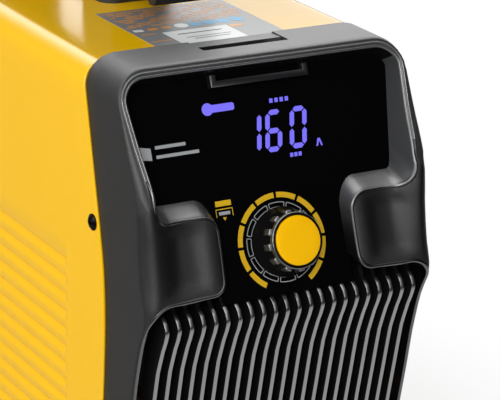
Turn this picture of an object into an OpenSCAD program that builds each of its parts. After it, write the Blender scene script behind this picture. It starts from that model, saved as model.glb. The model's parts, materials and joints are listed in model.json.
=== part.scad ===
// Compact stick welding inverter. Front faces -Y, the floor is z = 0.
// The origin lies on the floor under the middle of the machine.

/* [Case] */
// Width over the sheet-metal cover
cover_w = 122.8; // [118:0.2:130]
// Height of the cover's top above the floor
cover_top = 217; // [214:0.5:222]
// Thickness of the cover sheet
sheet_t = 1; // [0.8:0.1:1.4]
// Outer radius of the cover's top corners
cover_r = 9; // [6:0.5:11]
// Height of the bezel's flat top above the cover's top
bezel_proud = 2.5; // [1.5:0.5:4]
// Radius of the bezel's top corners
bezel_r = 12; // [10:0.5:14]
// Wall of the mouldings at the front and the rear
mould_t = 2.6; // [2.2:0.1:3]
// Thickness of the base tray sheet
tray_t = 1.2; // [1:0.1:1.6]
// Height of the tray's side flanges
tray_side_h = 16; // [12:1:22]
// Front edge of the cover, on top
seam_top_y = -93; // [-95:0.5:-91]
// Front edge of the cover, where it leans furthest forward
seam_mid_y = -112; // [-113:0.5:-111]
// Height of that furthest point
seam_mid_z = 122; // [118:1:128]
// Front edge of the cover, at its bottom
seam_low_y = -104.5; // [-106:0.5:-103]
// Distance from the main board to the rear moulding's front edge
rear_room = 22; // [20:1:26]
// Depth of the rear moulding
rear_d = 16; // [15:0.5:18]
// Depth that each moulding reaches under the cover
lip_l = 9; // [7:1:11]

/* [Louvres] */
// Number of louvres on each side
louvre_n = 14; // [8:1:15]
// Distance from one louvre to the next
louvre_pitch = 7.1; // [6:0.1:7.5]
// Height of the top louvre
louvre_top_z = 136.9; // [130:0.5:150]
// Front end of the louvres
louvre_y = -80.6; // [-84:0.2:-76]
// Length of each louvre
louvre_l = 78; // [50:1:100]
// Height of each louvre's mouth
louvre_gap = 1.8; // [1.2:0.1:2.4]
// How far each louvre is pressed in
louvre_in = 2; // [1.2:0.1:2.6]

/* [Front] */
// Lean of the window from the vertical
panel_tilt = 21.17; // [19:0.5:23]
// Height of the control knob's axis at the window
panel_z = 152.27; // [150:0.5:155]
// Depth of the control knob's axis at the window
panel_y = -134.96; // [-137:0.5:-133]
// Thickness of the window
glass_t = 2.5; // [2:0.1:3]
// Window's length above the knob axis, along its slope
glass_up = 64.6; // [62:0.2:66]
// Window's length below the knob axis, along its slope
glass_down = 18.9; // [18:0.1:20]
// Distance of the window's side edge from the cover's outside
glass_side = 5.2; // [4.8:0.2:7]
// Half width of the window's tongue between the shoulder blocks
tongue_hw = 27.3; // [26:0.1:29]
// Height of the shoulder blocks' top lip
block_top_z = 167.6; // [165:0.5:170]
// Height of the shoulder blocks' bottom edge
block_low_z = 139.3; // [138:0.1:141]
// Depth of the shoulder blocks' top lip at its inner end
block_top_y = -135.9; // [-137:0.1:-134]
// Depth of the shoulder blocks' bottom edge, the foremost line of the case
nose_y = -145.6; // [-147:0.1:-144]
// Height of the strap slot's mouth at the front
strap_h = 4.6; // [4.4:0.1:5]
// Width of the strap slot
strap_w = 35.4; // [30:0.2:40]
// Depth of the strap slot's mouth on top
strap_d = 5.2; // [4.8:0.1:6]
// Front edge of the strap slot's mouth on top
strap_y = -105.2; // [-106:0.1:-104]

/* [Ribs] */
// Number of ribs in front of the air opening
rib_n = 22; // [12:2:22]
// Distance from the rib field's side to the middle of the outermost rib
rib_side = 4.7; // [4:0.1:7]
// Thickness of each rib
rib_t = 1.7; // [1.2:0.1:2]
// Depth of each rib
rib_d = 9; // [7:0.5:11]
// Bottom end of the ribs
rib_low_z = 60; // [58:0.5:66]

/* [Controls] */
// Radius of the knob's yellow cap
cap_r = 9.13; // [8:0.1:9.6]
// Radius of the knob's rim
knob_r = 10.45; // [10.3:0.05:11]
// Radius of the knob's skirt
skirt_r = 13; // [12:0.1:13.4]
// Height of the knob's cap above the window
knob_h = 12.6; // [11.5:0.1:14]
// Number of grip nubs round the knob
knob_nubs = 12; // [8:1:16]
// Radius of the control shaft
shaft_r = 3; // [2.5:0.1:3.2]
// Travel of the push contact
push_travel = 0.6; // [0.4:0.1:0.8]

/* [Sockets] */
// Bore of the cable sockets
socket_bore_r = 4.55; // [4:0.05:5]
// Outer radius of the socket contacts
contact_r = 7.5; // [7:0.1:8]
// Radius of the socket insulators' collar
collar_r = 15.5; // [14:0.5:17]
// Room from each socket's collar to the recess's side
socket_side = 5.5; // [4:0.5:8]
// Height of the sockets above the floor
socket_z = 36; // [34:0.5:40]
// Front face of the socket plate
socket_plate_y = -112; // [-113:0.5:-110]
// Depth of the socket bores
socket_bore_l = 22; // [18:0.5:24]

/* [Feet and handle] */
// Height of the rubber feet
foot_h = 8; // [6:0.5:12]
// Radius of the rubber feet
foot_r = 9; // [7:0.5:11]
// Width of the handle
handle_w = 26; // [22:1:32]
// Room for the fingers under the handle
finger_h = 40; // [32:1:46]
// Thickness of the handle's bar
handle_t = 19; // [16:1:24]
// Front end of the handle's nose
handle_y = -60; // [-64:1:-54]
// Distance from the handle's rear end to the rear moulding
handle_back = 15; // [10:1:24]

/* [Rear] */
// Side of the square fan
fan_s = 92; // [80:1:94]
// Depth of the fan
fan_d = 25; // [20:1:28]
// Height of the fan's axis
fan_z = 62; // [58:1:66]
// Number of fan blades
blade_n = 7; // [5:1:9]
// Distance of the switch and the cable gland from the cover's side
rear_fit_side = 32.4; // [29.4:0.5:35.4]
// Height of the switch and the cable gland
rear_fit_z = 160; // [145:1:175]
// Radius of the cable that the gland takes
cable_r = 4.6; // [3.5:0.1:6]
// How far the cable gland stands out of the rear
gland_out = 13.4; // [10:0.2:17]
// Travel of the rocker to each side of its middle, in degrees
rocker_a = 10; // [6:1:12]

/* [Inside] */
// Height of the main board's underside
board_z = 24; // [20:0.5:28]
// Thickness of the boards
board_t = 1.6; // [1.2:0.2:2]
// Width of the main board
board_w = 104; // [96:1:106]
// Front edge of the main board
board_y = -74; // [-76:1:-70]
// Length of the main board
board_l = 174; // [160:1:176]
// Height of the heat sinks
sink_h = 52; // [40:1:70]
// Length of the main board in front of the heat sinks
sink_room = 84; // [80:1:100]
// Number of heat sink fins
sink_fins = 8; // [5:1:10]

/* [Hidden] */
$fn = 48;

// Clearances: pieces that slide together, and pieces that turn in one another
fit = 0.15;
run = 0.05;
gap = 0.3;
far = 400;

// Case
cover_hw = cover_w / 2;
inner_hw = cover_hw - sheet_t;
inner_top = cover_top - sheet_t;
bezel_hw = cover_hw - 0.9;
bezel_top = cover_top + bezel_proud;
lip_hw = inner_hw - fit;
lip_top = inner_top - fit;
lip_t = 2.2;
low_r = 3;
tray_z = foot_h;
rear_seam_y = board_y + board_l + rear_room;
rear_y = rear_seam_y + rear_d;
floor_z = tray_z + tray_t;
rear_plate_y = rear_y - 1.4;
rear_in_y = rear_plate_y - mould_t;

// Front: the window's own axes are X, up its slope, and out of its face
slope_y = sin(panel_tilt);
slope_z = cos(panel_tilt);
glass_top_y = panel_y + glass_up * slope_y;
glass_top_z = panel_z + glass_up * slope_z;
glass_low_y = panel_y - glass_down * slope_y;
glass_low_z = panel_z - glass_down * slope_z;
ledge_s = 20.4;
glass_hw = cover_hw - glass_side;
glass_r = 7;
edge_r = 4;
rim_r = 10;
rim_top_y = -116.7;
rim_top_z = bezel_top - 2.6;
waist_y = -139.2;
waist_z = 176;
block_r = 5;

// Border of the rib field and of the socket plate, from the nose down to the floor
border_hw = cover_hw - 1.4;
border_y = [nose_y + 4.2, nose_y + 9.3, nose_y + 16];
border_z = [block_low_z - 9, block_low_z - 28.6, block_low_z - 60.6];
border_lean = 0.2;
function border_at(z) = border_y[2] + (border_z[2] - z) * border_lean;

// Rib field
field_hw = cover_hw - 4.2;
rib_pitch = 2 * (field_hw - rib_side) / (rib_n - 1);
knee_y = -145;
knee_z = 131;

// Controls: heights above the window
cap_t = 1;
knob_lift = 1.2;
bush_r = shaft_r + 0.5;
bush_h = 3;
nut_h = 2;
enc_s = 12.4;
enc_top = -glass_t - 1;
enc_d = 7.5;
dboard_h = enc_top - enc_d;
chamber_r = shaft_r + 1.1;
chamber_top = dboard_h + 3.9;
collar_h = 1;
shaft_low = chamber_top - gap / 3 - collar_h;
plunger_t = 1;
plunger_low = shaft_low - 0.1 - plunger_t;
chamber_low = plunger_low - push_travel - gap;
pin_r = 1.4;
pin_l = 3;

// Handle: its bar lies above the finger room
pad_t = 3;
bar_z = cover_top + finger_h;
handle_top = bar_z + handle_t;
handle_end = rear_seam_y - handle_back;
front_leg = [handle_y + 39, handle_y + 65];
rear_leg = [handle_end - 27, handle_end - 1];
leg_fix = 8;
grip_t = 1.6;
grip_y = [front_leg[1] + 8, rear_leg[0] - 8];

// Sockets
plate_in_y = socket_plate_y + 3;
collar_d = 9;
contact_y = socket_plate_y - collar_d + 2;
shell_r = contact_r + 3.4;
shell_end = plate_in_y + 11;
shoulder_y = shell_end + 2;
stud_r = 4.9;
stud_l = 15;
bus_t = 2;
bus_w = 18;
cnut_h = 6;
socket_room = [14, 55];
socket_hw = cover_hw - 11.4;
socket_x = socket_hw - collar_r - socket_side;

// Fan and rear fittings
fan_y = rear_in_y - fan_d;
fan_hole_r = fan_s / 2 - 2.5;
fan_pitch = fan_s / 2 - 4.75;
hub_r = 19;
spindle_r = 1.5;
guard_t = 1.5;
rear_fit_x = cover_hw - rear_fit_side;
rocker_w = 18;
rocker_h = 24;
switch_d = 20;
gland_r = cable_r + 5.4;

// Inside
board_top = board_z + board_t;
sink_l = board_l - sink_room - 2;
sink_y = board_y + sink_room;
sink_w = 40;
sink_x = 28;
package_t = 5;
sink_z = board_top + package_t;

// Along the board: choke and transformer from its left edge, rectifier and relay from its right
board_hw = board_w / 2;
choke_at = [-board_hw + 25.5, board_y + 12];
core_at = [-board_hw + 40, board_y + 34];
can_x = [-board_hw + 16, board_hw - 30];
earth_at = [20, board_y + board_l];

// Places that repeat
louvre_zs = [for (i = [0 : louvre_n - 1]) louvre_top_z - i * louvre_pitch];
foot_spots = [for (x = [-1, 1], y = [seam_low_y + 20.5, rear_seam_y - 14]) [x * (cover_hw - 16), y]];
side_spots = [[-102.8, 159.2], [seam_low_y + 4.5, 32], [rear_seam_y - 4.5, 40], [rear_seam_y - 4.5, 185]];
handle_spots = [for (y = [front_leg[0] + 13, rear_leg[0] + 13], d = [-leg_fix, leg_fix]) y + d];
board_spots = [for (x = [-1, 1], y = [board_y + 5, board_y + board_l / 2, board_y + board_l - 5])
    [x * (board_hw - 4), y]];
spacer_spots = [for (x = [-1, 1], s = [ledge_s + 8, glass_up - 6]) [x * (glass_hw - 10), s]];
capacitor_spots = [for (x = [can_x[0], (can_x[0] + can_x[1]) / 2, can_x[1]]) [x, sink_y - 18]];
transistor_spots = [for (x = [-1, 1], i = [0 : 3]) [x * sink_x, sink_y + sink_l * (i + 0.5) / 4]];

// ---------- shared shapes ----------

// Puts its children on the window: X, up the slope, out of the face
module on_panel(x = 0, s = 0, h = 0)
    translate([0, panel_y, panel_z]) rotate([90 - panel_tilt, 0, 0]) translate([x, s, h]) children();

// Turns a shape that points along +Z so that it points to the back
module backward(x, y, z) translate([x, y, z]) rotate([-90, 0, 0]) children();

// Upright outline with round corners, drawn in X and Z
module case_outline(hw, z0, z1, r_top, r_low) {
    translate([-hw, z0 + r_low]) square([2 * hw, z1 - z0 - r_low - r_top]);
    translate([-hw + r_top, z0 + r_low]) square([2 * (hw - r_top), z1 - z0 - r_low]);
    translate([-hw + r_low, z0]) square([2 * (hw - r_low), r_low * 2]);
    for (s = [-1, 1]) {
        translate([s * (hw - r_top), z1 - r_top]) circle(r_top);
        translate([s * (hw - r_low), z0 + r_low]) circle(r_low);
    }
}

// The case outline drawn out from y0 to y1
module case_block(hw, z0, z1, r_top, r_low, y0, y1)
    translate([0, y1, 0]) rotate([90, 0, 0]) linear_extrude(y1 - y0) case_outline(hw, z0, z1, r_top, r_low);

// Side view drawn in Y and Z, made w wide and centred
module side_view(w, points)
    rotate([90, 0, 90]) translate([0, 0, -w / 2]) linear_extrude(w) polygon(points);

// Everything behind the front seam, moved back by d
module behind_seam(d = 0)
    side_view(far, [[seam_top_y + d, far], [seam_top_y + d, bezel_top - bezel_r * 0.4],
        [seam_mid_y + 0.5 + d, seam_mid_z + 18], [seam_mid_y + d, seam_mid_z], [seam_mid_y + 0.4 + d, seam_mid_z - 14],
        [seam_low_y + d, -1], [far, -1], [far, far]]);

module hex(af, h) cylinder(h = h, r = af / sqrt(3), $fn = 6);

// Pan-head screw: the head's underside lies at z = 0 and the shank points down
module screw(r, l, head_r, head_h) {
    translate([0, 0, -l]) cylinder(h = l, r = r);
    difference() {
        intersection() {
            cylinder(h = head_h, r = head_r);
            translate([0, 0, head_h - head_r * 1.5]) sphere(head_r * 1.5);
        }
        for (a = [0, 90]) rotate(a) translate([-head_r * 0.6, -head_r * 0.12, head_h * 0.5])
            cube([head_r * 1.2, head_r * 0.24, head_h]);
    }
}

// ---------- case ----------

// Outer form of the front moulding, set in by i on every side
module bezel_form(i) hull() for (s = [-1, 1]) {
    backward(s * (bezel_hw - bezel_r), -109, bezel_top - bezel_r) cylinder(h = 30, r = bezel_r - i);
    backward(s * (bezel_hw - bezel_r), -113.5 + i, bezel_top - bezel_r) cylinder(h = 4, r = bezel_r - 1 - i);
    backward(s * (bezel_hw - 1 - rim_r), rim_top_y + i, rim_top_z - rim_r) cylinder(h = 1, r = rim_r - i);
    translate([s * (bezel_hw - 1 - edge_r), waist_y + edge_r, waist_z]) sphere(edge_r - i, $fn = 24);
    translate([s * (bezel_hw - 0.8 - edge_r), nose_y + edge_r, block_low_z + 2]) sphere(edge_r - i, $fn = 24);
    for (k = [0 : 2]) translate([s * (border_hw - edge_r), border_y[k] + edge_r - 1, border_z[k]])
        sphere(edge_r - i, $fn = 24);
    translate([s * (border_hw - edge_r), border_at(tray_z) + edge_r - 1, tray_z + edge_r]) sphere(edge_r - i, $fn = 24);
    translate([s * (bezel_hw - edge_r), -85, tray_z + edge_r]) sphere(edge_r - i, $fn = 24);
}

// Solid behind one shoulder face, from the outer edge to the inner one, set in by i
module shoulder_form(i) hull() {
    for (p = [[bezel_hw - 5, waist_y + 1.2, block_top_z - 3], [bezel_hw - 5, nose_y + 3, block_low_z + 3]])
        translate([p[0], p[1] + 1.6, p[2]]) sphere(3 - i, $fn = 24);
    for (p = [[block_top_y, block_top_z - block_r], [nose_y + 1.4, block_low_z + block_r]])
        backward(tongue_hw + block_r + 1.2, p[0] + 1, p[1]) cylinder(h = 8, r = block_r - i, $fn = 32);
    translate([bezel_hw - 6, glass_top_y - 14, block_low_z + 2]) sphere(2 - i / 2, $fn = 16);
}

// Straight way through the window's opening, out of its face
module window_way() {
    on_panel(0, 0, -far / 10) linear_extrude(far / 4) polygon([
        [-glass_hw - 0.6, ledge_s - 1], [-glass_hw - 2.2, glass_up - 7], [-glass_hw + 7, glass_up + 2.2],
        [glass_hw - 7, glass_up + 2.2], [glass_hw + 2.2, glass_up - 7], [glass_hw + 0.6, ledge_s - 1],
        [glass_hw - 6, ledge_s - 6], [tongue_hw, ledge_s - 6], [tongue_hw, -glass_down - 5],
        [-tongue_hw, -glass_down - 5], [-tongue_hw, ledge_s - 6], [-glass_hw + 6, ledge_s - 6]]);
}

// Passage of the carrying strap: down through the top, and out to the front
module strap_way() {
    translate([-strap_w / 2, strap_y, glass_top_z - 3]) cube([strap_w, strap_d, far]);
    translate([-strap_w / 2, rim_top_y - 20, glass_top_z - 1.4]) cube([strap_w, strap_y + strap_d - rim_top_y + 20, strap_h]);
}

// Cuts for the side screws, right through from one side to the other
module side_holes(r) for (p = side_spots)
    translate([0, p[0], p[1]]) rotate([0, 90, 0]) cylinder(h = far, r = r, center = true);

// Tongue behind one louvre's mouth: the sheet below it, pressed in and up
module louvre_tongue(z) translate([0, louvre_y + louvre_l, z]) rotate([90, 0, 0]) linear_extrude(louvre_l)
    polygon([[inner_hw + sheet_t / 2, -louvre_gap - 1.2], [inner_hw + sheet_t / 2, -louvre_gap],
        [inner_hw, -louvre_gap], [inner_hw - louvre_in, 0.4], [inner_hw - louvre_in - sheet_t, 0.4],
        [inner_hw - 0.2, -louvre_gap - 1.2]]);

module cover_shell() color("gold") difference() {
    union() {
        difference() {
            intersection() {
                difference() {
                    case_block(cover_hw, tray_z - 20, cover_top, cover_r, low_r, -130, rear_seam_y - gap);
                    case_block(inner_hw, tray_z - 40, inner_top, cover_r - sheet_t, low_r, -140, far);
                }
                behind_seam(gap);
                translate([-far / 2, -far / 2, tray_z]) cube(far);
            }
            for (z = louvre_zs) translate([-far / 2, louvre_y, z - louvre_gap]) cube([far, louvre_l, louvre_gap]);
        }
        for (z = louvre_zs, s = [0, 1]) mirror([s, 0, 0]) louvre_tongue(z);
    }
    side_holes(1.9);
    for (y = handle_spots) translate([0, y, inner_top - 1]) cylinder(h = 9, r = 2.6);
}

module base_tray() color("darkgray") difference() {
    union() {
        translate([-lip_hw, seam_low_y + 2, tray_z]) cube([2 * lip_hw, rear_seam_y - seam_low_y - 2 - gap, tray_t]);
        for (s = [-1, 1]) translate([s > 0 ? lip_hw - tray_t : -lip_hw, seam_low_y + lip_l + 2, tray_z])
            cube([tray_t, rear_seam_y - seam_low_y - 2 * lip_l - 4, tray_side_h]);
    }
    for (p = foot_spots) translate([p[0], p[1], tray_z - 1]) cylinder(h = 5, r = 2);
    for (p = board_spots) translate([p[0], p[1], tray_z - 1]) cylinder(h = 5, r = 1.55);
    translate([earth_at[0], earth_at[1], tray_z - 1]) cylinder(h = 5, r = 2.1);
}

module front_bezel() color("dimgray") difference() {
    union() {
        difference() {
            bezel_form(0);
            bezel_form(mould_t);
            behind_seam();
            window_way();
            translate([-bezel_hw + 6, nose_y - 5, block_low_z]) cube([2 * bezel_hw - 12, 16, waist_z - block_low_z]);
        }
        for (s = [0, 1]) mirror([s, 0, 0]) difference() {
            shoulder_form(0);
            shoulder_form(2);
            translate([tongue_hw + 4, nose_y + 12, block_low_z + 4]) cube([bezel_hw, 30, 20]);
        }
        intersection() {
            difference() {
                case_block(lip_hw, floor_z + fit, lip_top, cover_r - sheet_t, low_r, -125, -80);
                case_block(lip_hw - lip_t, floor_z + fit + lip_t, lip_top - lip_t, cover_r - sheet_t - 1, 1, -126, -79);
            }
            behind_seam(-2.5);
            difference() {
                translate([-far / 2, -far / 2, 0]) cube(far);
                behind_seam(lip_l);
            }
        }
    }
    strap_way();
    side_view(2 * field_hw, [[-170, rib_low_z - 1], [-170, block_low_z], [-139.5, block_low_z + 0.5],
        [-122, block_low_z - 4], [-100, rib_low_z - 1]]);
    translate([-socket_hw, -140, socket_room[0]]) cube([2 * socket_hw, 29, socket_room[1] - socket_room[0]]);
    side_holes(1.45);
}

// Depth and height of a point up the window's slope and out of its face
function above_panel(s, h) = [panel_y + s * slope_y - h * slope_z, panel_z + s * slope_z + h * slope_y];

// One plank between the glass line and the rim line
module plank(a, b) hull() for (p = [a[0], a[1], b[0], b[1]]) translate(p) sphere(0.8, $fn = 12);

module panel_surround() color("dimgray") {
    g_top = [glass_top_y - 1.2, glass_top_z + 0.2];
    g_ledge = [panel_y + ledge_s * slope_y - 1.1, panel_z + ledge_s * slope_z];
    lip = [block_top_y + 1.4, block_top_z + 1.4];
    r_top = above_panel(glass_up + 0.38, 4.5);
    r_side = above_panel(glass_up - 11.67, 6.28);
    for (s = [-1, 1]) {
        // Under the rim of the bezel's top
        plank([[s * (strap_w / 2 + 4), g_top[0], g_top[1]], [s * (glass_hw - 7), g_top[0], g_top[1]]],
            [[s * (strap_w / 2 + 4), r_top[0], r_top[1]], [s * (glass_hw - 7), r_top[0], r_top[1]]]);
        // Beside the window
        plank([[s * (glass_hw - 1.6), glass_top_y - 4, glass_top_z - 8], [s * (glass_hw - 4.4), g_ledge[0], g_ledge[1] + 4]],
            [[s * (glass_hw + 0.8), r_side[0], r_side[1]], [s * (glass_hw - 1.4), waist_y + 2.4, waist_z]]);
        // Ledge on top of the shoulder block
        plank([[s * (glass_hw - 5), g_ledge[0], g_ledge[1]], [s * (tongue_hw + 6), g_ledge[0] - 0.6, g_ledge[1] - 1.6]],
            [[s * (glass_hw - 5), lip[0], lip[1]], [s * (tongue_hw + 6), lip[0], lip[1]]]);
        // Beside the window's tongue
        plank([[s * (tongue_hw - 0.6), g_ledge[0] - 2.6, g_ledge[1] - 7], [s * (tongue_hw - 0.6), glass_low_y + 0.5, glass_low_z + 4]],
            [[s * (tongue_hw - 0.2), lip[0], lip[1] - 6], [s * (tongue_hw - 0.2), nose_y + 4.5, block_low_z + 3.5]]);
    }
}

module strap_loop() color("black") on_panel(0, 0, 0.1) {
    loop_hw = strap_w / 2 + 2.9;
    low_s = glass_up - 5.4;
    translate([-loop_hw, low_s, 0]) cube([2 * loop_hw, 2.6, 3]);
    for (s = [-1, 1]) translate([s > 0 ? loop_hw - 2.4 : -loop_hw, low_s, 0]) cube([2.4, 5.4, 3]);
}

module display_window() color("black") difference() {
    on_panel(0, 0, -glass_t) linear_extrude(glass_t) {
        translate([-glass_hw, ledge_s - 2]) square([2 * glass_hw, glass_up - ledge_s + 2 - glass_r]);
        translate([-glass_hw + glass_r, ledge_s]) square([2 * (glass_hw - glass_r), glass_up - ledge_s]);
        for (s = [-1, 1]) translate([s * (glass_hw - glass_r), glass_up - glass_r]) circle(glass_r);
        translate([-tongue_hw, -glass_down]) square([2 * tongue_hw, glass_down + ledge_s]);
    }
    on_panel(0, 0, -glass_t - 1) cylinder(h = glass_t + 2, r = bush_r + 0.2);
    strap_way();
    // The bottom edge is cut back along the top ends of the ribs
    side_view(2 * tongue_hw + 2, [[knee_y - 0.2, knee_z + gap], [knee_y + 11, knee_z + gap + 8.6],
        [knee_y + 11, knee_z - 5], [knee_y, knee_z - 5]]);
}

// Side view of one rib: back from the window, round the knee, then down and back
rib_front = [[knee_y + 5.5, knee_z + 4.2], [knee_y + 0.5, knee_z + 0.5], [knee_y, knee_z - 0.6],
    [knee_y + 3.6, knee_z - 10], [knee_y + 6.9, knee_z - 20], [knee_y + 15.1, knee_z - 60]];
rib_low_y = knee_y + 15.1 + (knee_z - 60 - rib_low_z) * 0.205;

module rib_grille() color("black") {
    for (i = [0 : rib_n - 1]) translate([(i - (rib_n - 1) / 2) * rib_pitch, 0, 0])
        side_view(rib_t, concat(rib_front, [[rib_low_y, rib_low_z], [rib_low_y + rib_d, rib_low_z],
            [knee_y + 15.1 + rib_d, knee_z - 60], [knee_y + 7.4 + rib_d, knee_z - 20], [knee_y + 5.5 + rib_d, knee_z - 2]]));
    // Rails behind the ribs hold them at the top, the middle and the bottom
    for (p = [[knee_y + 6 + rib_d, knee_z - 8], [knee_y + 10.6 + rib_d, knee_z - 38], [rib_low_y - 1.2 + rib_d, rib_low_z]])
        translate([-field_hw + gap, p[0] - 2.4, p[1]]) cube([2 * (field_hw - gap), 4, 3]);
}

module socket_plate() color("dimgray") difference() {
    intersection() {
        union() {
            translate([-socket_hw - 2, socket_plate_y, socket_room[0] - 2])
                cube([2 * socket_hw + 4, 3, socket_room[1] - socket_room[0] + 4]);
            difference() {
                translate([-socket_hw + fit, -130, socket_room[0] + fit])
                    cube([2 * (socket_hw - fit), 20, socket_room[1] - socket_room[0] - 2 * fit]);
                translate([-socket_hw + 1.8, -131, socket_room[0] + 1.8])
                    cube([2 * socket_hw - 3.6, 131 + socket_plate_y, socket_room[1] - socket_room[0] - 3.6]);
            }
        }
        side_view(far, [[border_at(60) + 0.6, 60], [0, 60], [0, 10], [border_at(10) + 0.6, 10]]);
    }
    for (s = [-1, 1]) backward(s * socket_x, socket_plate_y - 1, socket_z) cylinder(h = 5, r = shell_r + fit);
}

module rear_panel() color("dimgray") difference() {
    union() {
        difference() {
            case_block(bezel_hw, tray_z, bezel_top, bezel_r, low_r, rear_seam_y, rear_y);
            case_block(bezel_hw - mould_t, tray_z + mould_t, bezel_top - mould_t, bezel_r - mould_t, 1, rear_seam_y - 1, rear_in_y);
            case_block(bezel_hw - mould_t, tray_z + mould_t, bezel_top - mould_t, bezel_r - mould_t, 1, rear_plate_y, rear_y + 1);
        }
        difference() {
            case_block(lip_hw, floor_z + fit, lip_top, cover_r - sheet_t, low_r, rear_seam_y - lip_l, rear_seam_y + 2);
            case_block(lip_hw - lip_t, floor_z + fit + lip_t, lip_top - lip_t, cover_r - sheet_t - 1, 1,
                rear_seam_y - lip_l - 1, rear_seam_y + 3);
        }
    }
    backward(0, rear_in_y - 1, fan_z) cylinder(h = 9, r = fan_hole_r);
    for (x = [-1, 1], z = [-1, 1]) backward(x * fan_pitch, rear_in_y - 1, fan_z + z * fan_pitch) cylinder(h = 9, r = 2.2);
    translate([-rear_fit_x - rocker_w / 2 - 3 - fit, rear_in_y - 1, rear_fit_z - rocker_h / 2 - 3 - fit])
        cube([rocker_w + 6 + 2 * fit, 9, rocker_h + 6 + 2 * fit]);
    backward(rear_fit_x, rear_in_y - 1, rear_fit_z) cylinder(h = 9, r = gland_r + fit);
    for (i = [0 : 5]) translate([-42, rear_in_y - 1, rear_fit_z + 28 + i * 5]) cube([84, 9, 2.2]);
    side_holes(1.45);
}

module rubber_feet() color("black") for (p = foot_spots) translate([p[0], p[1], 0]) difference() {
    cylinder(h = foot_h, r1 = foot_r - 1, r2 = foot_r);
    translate([0, 0, -1]) cylinder(h = foot_h - 2, r = 4.2);
    cylinder(h = foot_h + 1, r = 2);
}

module foot_screws() color("silver") for (p = foot_spots)
    translate([p[0], p[1], foot_h - 3]) rotate([180, 0, 0]) screw(1.9, 3 + tray_t + 4, 3.8, 2.2);

module side_screws() color("black") for (p = side_spots, s = [-1, 1])
    translate([s * cover_hw, p[0], p[1]]) rotate([0, s * 90, 0]) screw(1.4, 7, 3.15, 1.6);

// ---------- handle ----------

module handle_outline() {
    polygon([[front_leg[0], cover_top + pad_t], [front_leg[0], cover_top + 20], [handle_y + 16, cover_top + 16],
        [handle_y + 7, cover_top + 6.5], [handle_y + 3, cover_top + 7], [handle_y, cover_top + 13],
        [handle_y + 2, bar_z - 9], [handle_y + 12, handle_top - 7], [handle_y + 34, handle_top],
        [handle_end - 32, handle_top], [handle_end - 10, handle_top - 5], [handle_end, bar_z + 2],
        [rear_leg[1], cover_top + pad_t], [rear_leg[0], cover_top + pad_t], [rear_leg[0], bar_z - 5],
        [rear_leg[0] - 5, bar_z], [front_leg[1] + 5, bar_z], [front_leg[1], bar_z - 5], [front_leg[1], cover_top + pad_t]]);
}

module handle_frame() color("dimgray") difference() {
    rotate([90, 0, 90]) translate([0, 0, -handle_w / 2]) linear_extrude(handle_w) handle_outline();
    difference() {
        translate([-handle_w, grip_y[0], bar_z - 1]) cube([2 * handle_w, grip_y[1] - grip_y[0], handle_t + 2]);
        translate([-handle_w / 2 + grip_t, grip_y[0] - 1, bar_z + grip_t])
            cube([handle_w - 2 * grip_t, grip_y[1] - grip_y[0] + 2, handle_t - 2 * grip_t]);
    }
    for (y = handle_spots) translate([0, y, cover_top]) cylinder(h = 16, r = 2);
}

module handle_grip() color("black") difference() {
    translate([-handle_w / 2, grip_y[0] + fit, bar_z]) cube([handle_w, grip_y[1] - grip_y[0] - 2 * fit, handle_t]);
    translate([-handle_w / 2 + grip_t - 0.02, grip_y[0] - 1, bar_z + grip_t - 0.02])
        cube([handle_w - 2 * grip_t + 0.04, grip_y[1] - grip_y[0] + 2, handle_t - 2 * grip_t + 0.04]);
}

module handle_feet() color("gray") difference() {
    for (leg = [front_leg, rear_leg]) translate([0, (leg[0] + leg[1]) / 2, cover_top]) linear_extrude(pad_t)
        offset(r = 7) square([handle_w - 4, 19], center = true);
    for (y = handle_spots) translate([0, y, cover_top - 1]) cylinder(h = 9, r = 2.6);
}

module handle_screws() color("silver") for (y = handle_spots)
    translate([0, y, inner_top]) rotate([180, 0, 0]) screw(1.95, 15, 4.4, 2.6);

module rating_label() color("gray")
    translate([-27.4, seam_top_y + 1.5, cover_top]) cube([54.8, 55.5, 0.3]);

// ---------- controls ----------

module knob_body() color("black") on_panel() difference() {
    union() {
        translate([0, 0, knob_lift]) cylinder(h = 0.6, r = skirt_r);
        translate([0, 0, knob_lift + 0.6]) cylinder(h = knob_h - knob_lift - 3.4, r1 = skirt_r, r2 = knob_r - 0.5);
        translate([0, 0, knob_h - 2.8]) cylinder(h = 1.8, r = knob_r);
        translate([0, 0, knob_h - 1]) cylinder(h = 0.5, r1 = knob_r, r2 = cap_r + 0.5);
        for (i = [0 : knob_nubs - 1]) rotate(5 + i * 360 / knob_nubs) translate([knob_r - 2, -1.3, knob_h - 5.8])
            cube([2.8, 2.6, 3.4]);
    }
    translate([0, 0, knob_h - cap_t]) cylinder(h = 3, r = cap_r + 0.02);
    translate([0, 0, -1]) cylinder(h = bush_h + 3, r = 7.4);
    translate([0, 0, 0]) cylinder(h = knob_h - 3, r = shaft_r + 0.02);
}

module knob_cap() color("gold") on_panel(0, 0, knob_h - cap_t) cylinder(h = cap_t, r = cap_r);

module encoder_shaft() color("silver") on_panel() difference() {
    union() {
        translate([0, 0, shaft_low]) cylinder(h = knob_h - 3 - shaft_low, r = shaft_r);
        translate([0, 0, shaft_low]) cylinder(h = collar_h, r = chamber_r - run);
    }
    translate([0, 0, shaft_low - 1]) cylinder(h = pin_l + 1.1, r = pin_r + run);
}

module encoder_plunger() color("black") on_panel() {
    translate([0, 0, plunger_low]) cylinder(h = plunger_t, r = chamber_r - run);
    translate([0, 0, plunger_low]) cylinder(h = plunger_t + pin_l, r = pin_r);
}

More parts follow.
